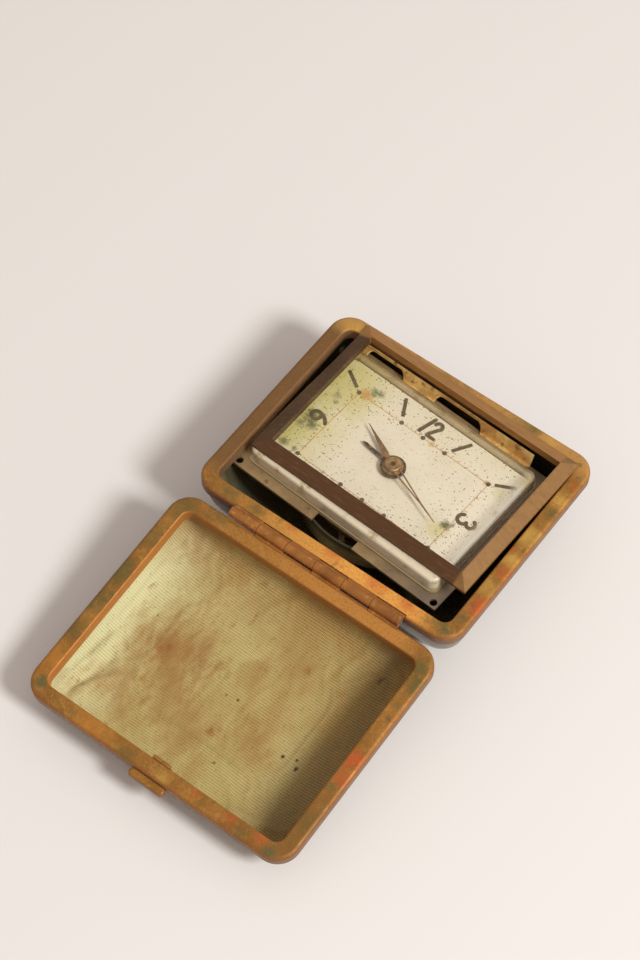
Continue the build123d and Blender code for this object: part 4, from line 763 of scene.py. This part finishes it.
# Painted light: the dial's right margin is painted paler, where the bezel's right bar shades it.
tone = mingle(spot_range(where, "X", 0.019, 0.029), tone, (0.96, 0.88, 0.76))
tone = cover(tone, spot_range(where, "Y", 0.009, 0.02), 0.5, (0.82, 0.76, 0.55))
left = spot_range(where, "X", -0.014, -0.029)
left = times(left, combine("ADD", cloud(where, 0.008, 4, 0.5, 0.3, 0.62), 0.35))
tone = mingle(left, tone, (0.7, 0.63, 0.27))
# Painted highlight: a pale yellow band along the dial's left edge stands for the lit left wall of
# the crystal.
tone = mingle(spot_range(where, "X", -0.031, -0.0322), tone, (0.95, 0.9, 0.62))
moss, straw = (0.125, 0.118, 0.04), (0.7, 0.63, 0.3)
ochre, bloom = (0.62, 0.34, 0.085), (0.16, 0.27, 0.13)
tone = marks(where, tone, (
    (straw, (-22.5, 12.5, 16.6), 9.0, 0.9, 0.1), (straw, (-29.0, -5.0, 16.6), 7.0, 0.8, 0.1),
    (straw, (-26.0, 17.0, 16.6), 6.0, 0.6, 0.1), (ochre, (-20.6, 13.7, 16.6), 2.6, 0.95, 0.3),
    (bloom, (-19.6, 16.2, 16.6), 1.4, 0.85, 0.3), (moss, (-17.8, 16.4, 16.6), 1.7, 0.75, 0.2),
    (moss, (-19.0, 14.9, 16.6), 1.0, 0.7, 0.3), (moss, (-26.6, 8.4, 16.6), 1.6, 0.55, 0.1),
    (moss, (-25.4, 6.6, 16.6), 1.0, 0.6, 0.2), (moss, (-27.8, -1.2, 16.6), 3.0, 0.9, 0.2),
    (moss, (-25.8, -3.4, 16.6), 2.4, 0.9, 0.2), (moss, (-28.6, -4.8, 16.6), 1.8, 0.7, 0.2),
    (moss, (-28.0, -12.6, 16.6), 1.8, 0.8, 0.3), (moss, (-24.4, -12.4, 16.6), 1.1, 0.75, 0.3),
    (straw, (20.8, -6.6, 16.6), 4.0, 0.9, 0.2), (moss, (21.8, -4.5, 16.6), 1.8, 0.95, 0.4),
    (moss, (23.2, -3.4, 16.6), 0.9, 0.8, 0.3), (straw, (-0.5, -14.0, 16.6), 1.8, 0.7, 0.2),
    (straw, (27.0, 13.0, 16.6), 3.6, 0.55, 0.1), (ochre, (22.0, 13.0, 16.6), 1.1, 0.8, 0.4),
    (ochre, (2.9, 12.9, 16.6), 1.2, 0.6, 0.3), (moss, (-13.6, -13.4, 16.6), 1.0, 0.55, 0.3)), 0.9)
ring = put(where, "VectorMath", {"operation": "LENGTH"},
           Vector=stretched(where, (0.6, 1.0, 0.0))).outputs["Value"]
busy = combine("ADD", combine("ADD", spot_range(where, "X", -0.017, -0.024), 0.3),
               times(ramp(ring, 0.007, 0.013), cloud(where, 0.007, 4, 0.6, 0.36, 0.52)))
for turn, stretch, scale, size, keep, strength in (
        (0.0, 1.0, 520.0, 0.11, 0.62, 1.0), (0.4, 0.7, 860.0, 0.11, 0.72, 1.0),
        (0.9, 0.9, 1500.0, 0.15, 0.74, 0.85), (0.7, 0.2, 560.0, 0.075, 0.8, 0.9),
        (-0.9, 0.16, 470.0, 0.06, 0.82, 0.85), (1.5, 0.25, 620.0, 0.075, 0.84, 0.8)):
    laid = stretched(where, (stretch, 1.0, 1.0), turn)
    fleck = put(where, "TexVoronoi", {"Scale": scale, "voronoi_dimensions": "2D"}, Vector=laid)
    chosen = ramp(axis_of(fleck.outputs["Color"], "X"), keep, keep + 0.02)
    dot = ramp(fleck.outputs["Distance"], size, size * 0.7)
    dot = times(times(dot, chosen), busy)
    tone = cover(tone, dot, strength, (0.075, 0.055, 0.03))
paint(shader, tone, Roughness=0.55)
roughen(shader, cloud(where, 0.0006, 5, 0.6, 0.2, 0.8), 0.00002, 0.4)
dress(dial_finish, "dial")

# The minute track is printed on the dial: a fine rust-coloured rectangle with a tick for each
# minute pointing away from the centre. Geometry nodes lay the ticks where the rays cross it.
ink_finish, shader, where = start_piece("rust_ink")
worn = mingle(cloud(where, 0.0035, 5, 0.7, 0.42, 0.6), (0.5, 0.2, 0.035), (0.66, 0.42, 0.18))
paint(shader, worn, Roughness=0.7)


def start_tree(name, sizes):
    """A geometry tree with named length inputs."""
    group = bpy.data.node_groups.new(name, "GeometryNodeTree")
    group.interface.new_socket("Geometry", in_out="INPUT", socket_type="NodeSocketGeometry")
    sockets = {}
    for key, value in sizes.items():
        kind = "NodeSocketInt" if isinstance(value, int) else "NodeSocketFloat"
        socket = group.interface.new_socket(key, in_out="INPUT", socket_type=kind)
        socket.default_value = value
        sockets[key] = socket.identifier
    group.interface.new_socket("Geometry", in_out="OUTPUT", socket_type="NodeSocketGeometry")
    given = group.nodes.new("NodeGroupInput").outputs
    return group, sockets, given, group.nodes.new("NodeGroupOutput").inputs[0]


def grow(name, shape, out, sockets, sizes, finish, place, body):
    """End a geometry tree with its finish, run it once, and keep its mesh as a plain piece."""
    real = put(shape, "GeometryNodeRealizeInstances", Geometry=shape)
    dressed = put(shape, "GeometryNodeSetMaterial", {"Material": finish}, Geometry=real.outputs[0])
    feed(out, dressed.outputs[0])
    grower = stand(name + "_grower", bpy.data.meshes.new(name + "_start"))
    modifier = grower.modifiers.new("grow", "NODES")
    modifier.node_group = shape.id_data
    for key, value in sizes.items():
        modifier[sockets[key]] = value
    mesh = bpy.data.meshes.new_from_object(
        grower.evaluated_get(bpy.context.evaluated_depsgraph_get()))
    grower.modifiers.remove(modifier)
    bpy.data.objects.remove(grower)
    mesh.transform(place)
    if not mesh.materials:
        mesh.materials.append(finish)
    mesh.name = name
    piece = stand(name, mesh)
    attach(piece, body)


track_height = 16.612 * mm
clock_place = Matrix.Translation(clock_centre) @ Matrix.Rotation(clock_turn, 4, "Z")
track_sizes = {"Track half width": 22.6 * mm, "Track half depth": 13.0 * mm, "Ticks": 60,
               "Line width": 0.18 * mm, "Ink height": 0.015 * mm, "Tick length": 1.15 * mm}
group, sockets, given, out = start_tree("minute_track", track_sizes)
row = put(group, "GeometryNodeMeshLine", Count=given["Ticks"])
turn = reckon("MULTIPLY", put(group, "GeometryNodeInputIndex").outputs[0], math.radians(6))
go_x, go_y = reckon("SINE", turn), reckon("COSINE", turn)
to_sides = [reckon("DIVIDE", given[half], reckon("MAXIMUM", reckon("ABSOLUTE", go), 0.001))
            for half, go in (("Track half width", go_x), ("Track half depth", go_y))]
reach = reckon("MINIMUM", *to_sides)
reach = reckon("ADD", reach, reckon("MULTIPLY", given["Tick length"], 0.5))
spot = put(group, "CombineXYZ", X=reckon("MULTIPLY", go_x, reach),
           Y=reckon("MULTIPLY", go_y, reach))
placed = put(group, "GeometryNodeSetPosition", Geometry=row.outputs[0], Position=spot.outputs[0])
stroke = put(group, "CombineXYZ", X=given["Line width"], Y=given["Tick length"],
             Z=given["Ink height"])
tick = put(group, "GeometryNodeMeshCube", Size=stroke.outputs[0])
spin = put(group, "CombineXYZ", Z=reckon("MULTIPLY", turn, -1.0))
ticks = put(group, "GeometryNodeInstanceOnPoints", Points=placed.outputs[0],
            Instance=tick.outputs[0], Rotation=spin.outputs[0])
joined = put(group, "GeometryNodeJoinGeometry", Geometry=ticks.outputs[0])
for half_a, half_b, along_x in (("Track half width", "Track half depth", True),
                                ("Track half depth", "Track half width", False)):
    for side in (1.0, -1.0):
        length = reckon("MULTIPLY", given[half_a], 2.0)
        offset = reckon("MULTIPLY", given[half_b], side)
        size = put(group, "CombineXYZ", X=length if along_x else given["Line width"],
                   Y=given["Line width"] if along_x else length, Z=given["Ink height"])
        line = put(group, "GeometryNodeMeshCube", Size=size.outputs[0])
        shift = put(group, "CombineXYZ", **({"Y": offset} if along_x else {"X": offset}))
        moved = put(group, "GeometryNodeTransform", Geometry=line.outputs[0],
                    Translation=shift.outputs[0])
        feed(joined.inputs[0], moved.outputs[0])
grow("minute_track", joined.outputs[0], out, sockets, track_sizes, ink_finish,
     clock_place @ Matrix.Translation((0, 0, track_height)), "base")

# Hour bars, dots and numerals are stamped brass set into the dial, once gilt, now dull bronze.
# They are rubbed lighter in places.
mark_finish, shader, where = start_piece("stamped_bronze")
tone = mingle(cloud(where, 0.0018, 5, 0.7, 0.35, 0.65), (0.22, 0.15, 0.065), (0.115, 0.085, 0.035))
tone = mingle(cloud(where, 0.0008, 3, 0.6, 0.6, 0.75), tone, (0.42, 0.29, 0.13))
paint(shader, tone, Metallic=0.5, Roughness=0.45)
roughen(shader, cloud(where, 0.0004, 3, 0.6, 0.2, 0.8), 0.00004, 0.7)
dress(mark_finish, "dial_marks")

# The three hands are cut from thin brass. The hour and minute hands have lost their filling
# and gone copper brown; the alarm pointer and its cup are nearly black.
hand_finish, shader, where = start_piece("tarnished_hands")
tone = mingle(cloud(where, 0.0025, 5, 0.65, 0.38, 0.62), (0.4, 0.215, 0.085), (0.2, 0.108, 0.048))
tone = mingle(cloud(where, 0.0009, 4, 0.7, 0.58, 0.72), tone, (0.1, 0.06, 0.03))
hub = vector_work("DISTANCE", stretched(where, (1.0, 1.0, 0.0)), clock_centre)
crusted = ramp(hub, 0.0031, 0.0027)
tone = cover(tone, crusted, cloud(where, 0.0014, 5, 0.75, 0.47, 0.53), (0.52, 0.32, 0.09))
tone = cover(tone, crusted, cloud(where, 0.0007, 5, 0.75, 0.56, 0.62), (0.055, 0.032, 0.014))
tone = cover(tone, ramp(hub, 0.001, 0.0006), 0.8, (0.1, 0.05, 0.02))
paint(shader, tone, Metallic=0.5, Roughness=0.45)
roughen(shader, cloud(where, 0.0007, 4, 0.6, 0.2, 0.8), 0.00008, 0.8)
dress(hand_finish, "hour_hand", "minute_hand")
pointer_finish, shader, where = start_piece("blackened_pointer")
tone = mingle(cloud(where, 0.001, 5, 0.65, 0.48, 0.6), (0.06, 0.042, 0.024), (0.3, 0.185, 0.06))
paint(shader, tone, Metallic=0.6, Roughness=0.42)
roughen(shader, cloud(where, 0.0005, 4, 0.6, 0.2, 0.8), 0.00003, 0.6)
dress(pointer_finish, "alarm_hand")

# The mounting plate is tinned sheet steel, cut with a notch and four screw holes. It has
# gone brown, with darker spots, and greyer towards the right.
plate_finish, shader, where = start_piece("tinned_plate")
tone = mingle(cloud(where, 0.007, 5, 0.6, 0.35, 0.65), (0.5, 0.335, 0.16), (0.33, 0.215, 0.105))
tone = mingle(cloud(where, 0.0025, 5, 0.7, 0.56, 0.7), tone, (0.17, 0.105, 0.055))
tone = cover(tone, spot_range(where, "X", 0.004, 0.026), 0.6, (0.2, 0.165, 0.14))
paint(shader, tone, Metallic=0.5, Roughness=0.42)
roughen(shader, cloud(where, 0.0015, 4, 0.6, 0.2, 0.8), 0.00004, 0.5)
dress(plate_finish, "mounting_plate")

# The round can is nickel-plated steel. It rings when the hammer strikes it, and its back
# carries the four slotted screws and the holes for the keys and knobs. Its upper end is
# painted nearly black, as painted shade.
can_finish, shader, where = start_piece("nickel_can")
from_hub = put(where, "Mapping", {"Location": [-part for part in clock_centre]},
               Vector=where).outputs[0]
turned = put(where, "TexWave", {"wave_type": "RINGS", "rings_direction": "Z", "Scale": 900.0,
                               "Distortion": 2.0, "Detail": 2.0}, Vector=from_hub).outputs["Fac"]
tone = mingle(cloud(where, 0.01, 5, 0.6, 0.35, 0.65), (0.46, 0.44, 0.38), (0.33, 0.3, 0.24))
tone = mingle(cloud(where, 0.0028, 5, 0.7, 0.6, 0.72), tone, (0.22, 0.15, 0.08))
# Painted shade: the can's upper end is painted nearly black.
tone = cover(tone, spot_range(where, "Z", 0.0115, 0.0135), 0.85, (0.06, 0.055, 0.036))
paint(shader, tone, Metallic=0.95, Roughness=0.27)
roughen(shader, turned, 0.00001, 0.35)
dress(can_finish, "bell_can")

# Turned steel of the movement: pillars, posts, spacers, screws and arbors with their knobs.
# Fine rings from the lathe catch the light.
turned_finish, shader, where = start_piece("turned_steel")
lathe = put(where, "TexWave", {"wave_type": "BANDS", "bands_direction": "Z", "Scale": 2600.0,
                               "Distortion": 0.5}, Vector=where).outputs["Fac"]
tone = mingle(cloud(where, 0.004, 5, 0.6, 0.35, 0.65), (0.5, 0.48, 0.45), (0.36, 0.33, 0.29))
tone = mingle(spot_range(where, "Z", 0.017, 0.0175), tone, (0.13, 0.075, 0.032))
paint(shader, tone, Metallic=0.95, Roughness=0.3)
roughen(shader, lathe, 0.000012, 0.5)
dress(turned_finish, "pillars", "dial_posts", "can_spacers", "back_screws", "centre_arbor",
      "alarm_set_knob")

# Plates, wheels, barrels and keys are cut from brass sheet. The plates are grained straight,
# the wheels are brighter, and the keys are browner where fingers turned them.
for name, tones, stretch, members in (
        ("grained_plate_brass", ((0.62, 0.42, 0.15), (0.5, 0.32, 0.11)), (1.0, 16.0, 16.0),
         ("front_plate", "back_plate")),
        ("cut_wheel_brass", ((0.72, 0.5, 0.19), (0.58, 0.38, 0.13)), (5.0, 1.0, 5.0),
         ("third_wheel", "fourth_wheel", "escape_wheel", "centre_wheel", "hour_wheel",
          "alarm_wheel", "motion_wheel", "balance_wheel", "time_barrel", "alarm_barrel")),
        ("worn_key_brass", ((0.58, 0.38, 0.14), (0.36, 0.21, 0.08)), (1.0, 3.0, 1.0),
         ("time_key", "alarm_key"))):
    brass_finish, shader, where = start_piece(name)
    grain = stretched(where, stretch)
    tone = mingle(cloud(grain, 0.006, 5, 0.6, 0.35, 0.65), *tones)
    tone = mingle(cloud(where, 0.003, 5, 0.7, 0.6, 0.74), tone, (0.22, 0.12, 0.045))
    paint(shader, tone, Metallic=0.9, Roughness=0.32)
    roughen(shader, cloud(grain, 0.0012, 3, 0.6, 0.2, 0.8), 0.000015, 0.6)
    dress(brass_finish, *members)

# The hairspring is a flat steel spiral round the balance staff, above the balance's arms.
# Geometry nodes wind it from its inner coil outwards.
blued_finish, shader, where = start_piece("blued_spring")
tone = mingle(cloud(where, 0.003, 3, 0.5, 0.4, 0.6), (0.1, 0.12, 0.22), (0.16, 0.15, 0.2))
paint(shader, tone, Metallic=0.9, Roughness=0.3)
staff_place = (-14.5 * mm, 7.2 * mm, 9.6 * mm)
spring_sizes = {"Inner radius": 0.75 * mm, "Outer radius": 3.7 * mm, "Coils": 9.0,
                "Strip width": 0.05 * mm, "Strip height": 0.22 * mm}
group, sockets, given, out = start_tree("hairspring", spring_sizes)
coil = put(group, "GeometryNodeCurveSpiral", {"Resolution": 26, "Height": 0.0},
           Rotations=given["Coils"],
           Start_Radius=given["Inner radius"], End_Radius=given["Outer radius"])
strip = put(group, "GeometryNodeCurvePrimitiveQuadrilateral", Width=given["Strip width"],
            Height=given["Strip height"])
wound = put(group, "GeometryNodeCurveToMesh", {"Fill Caps": True}, Curve=coil.outputs[0],
            Profile_Curve=strip.outputs[0])
grow("hairspring", wound.outputs[0], out, sockets, spring_sizes, blued_finish,
     clock_place @ Matrix.Translation(staff_place), "balance")
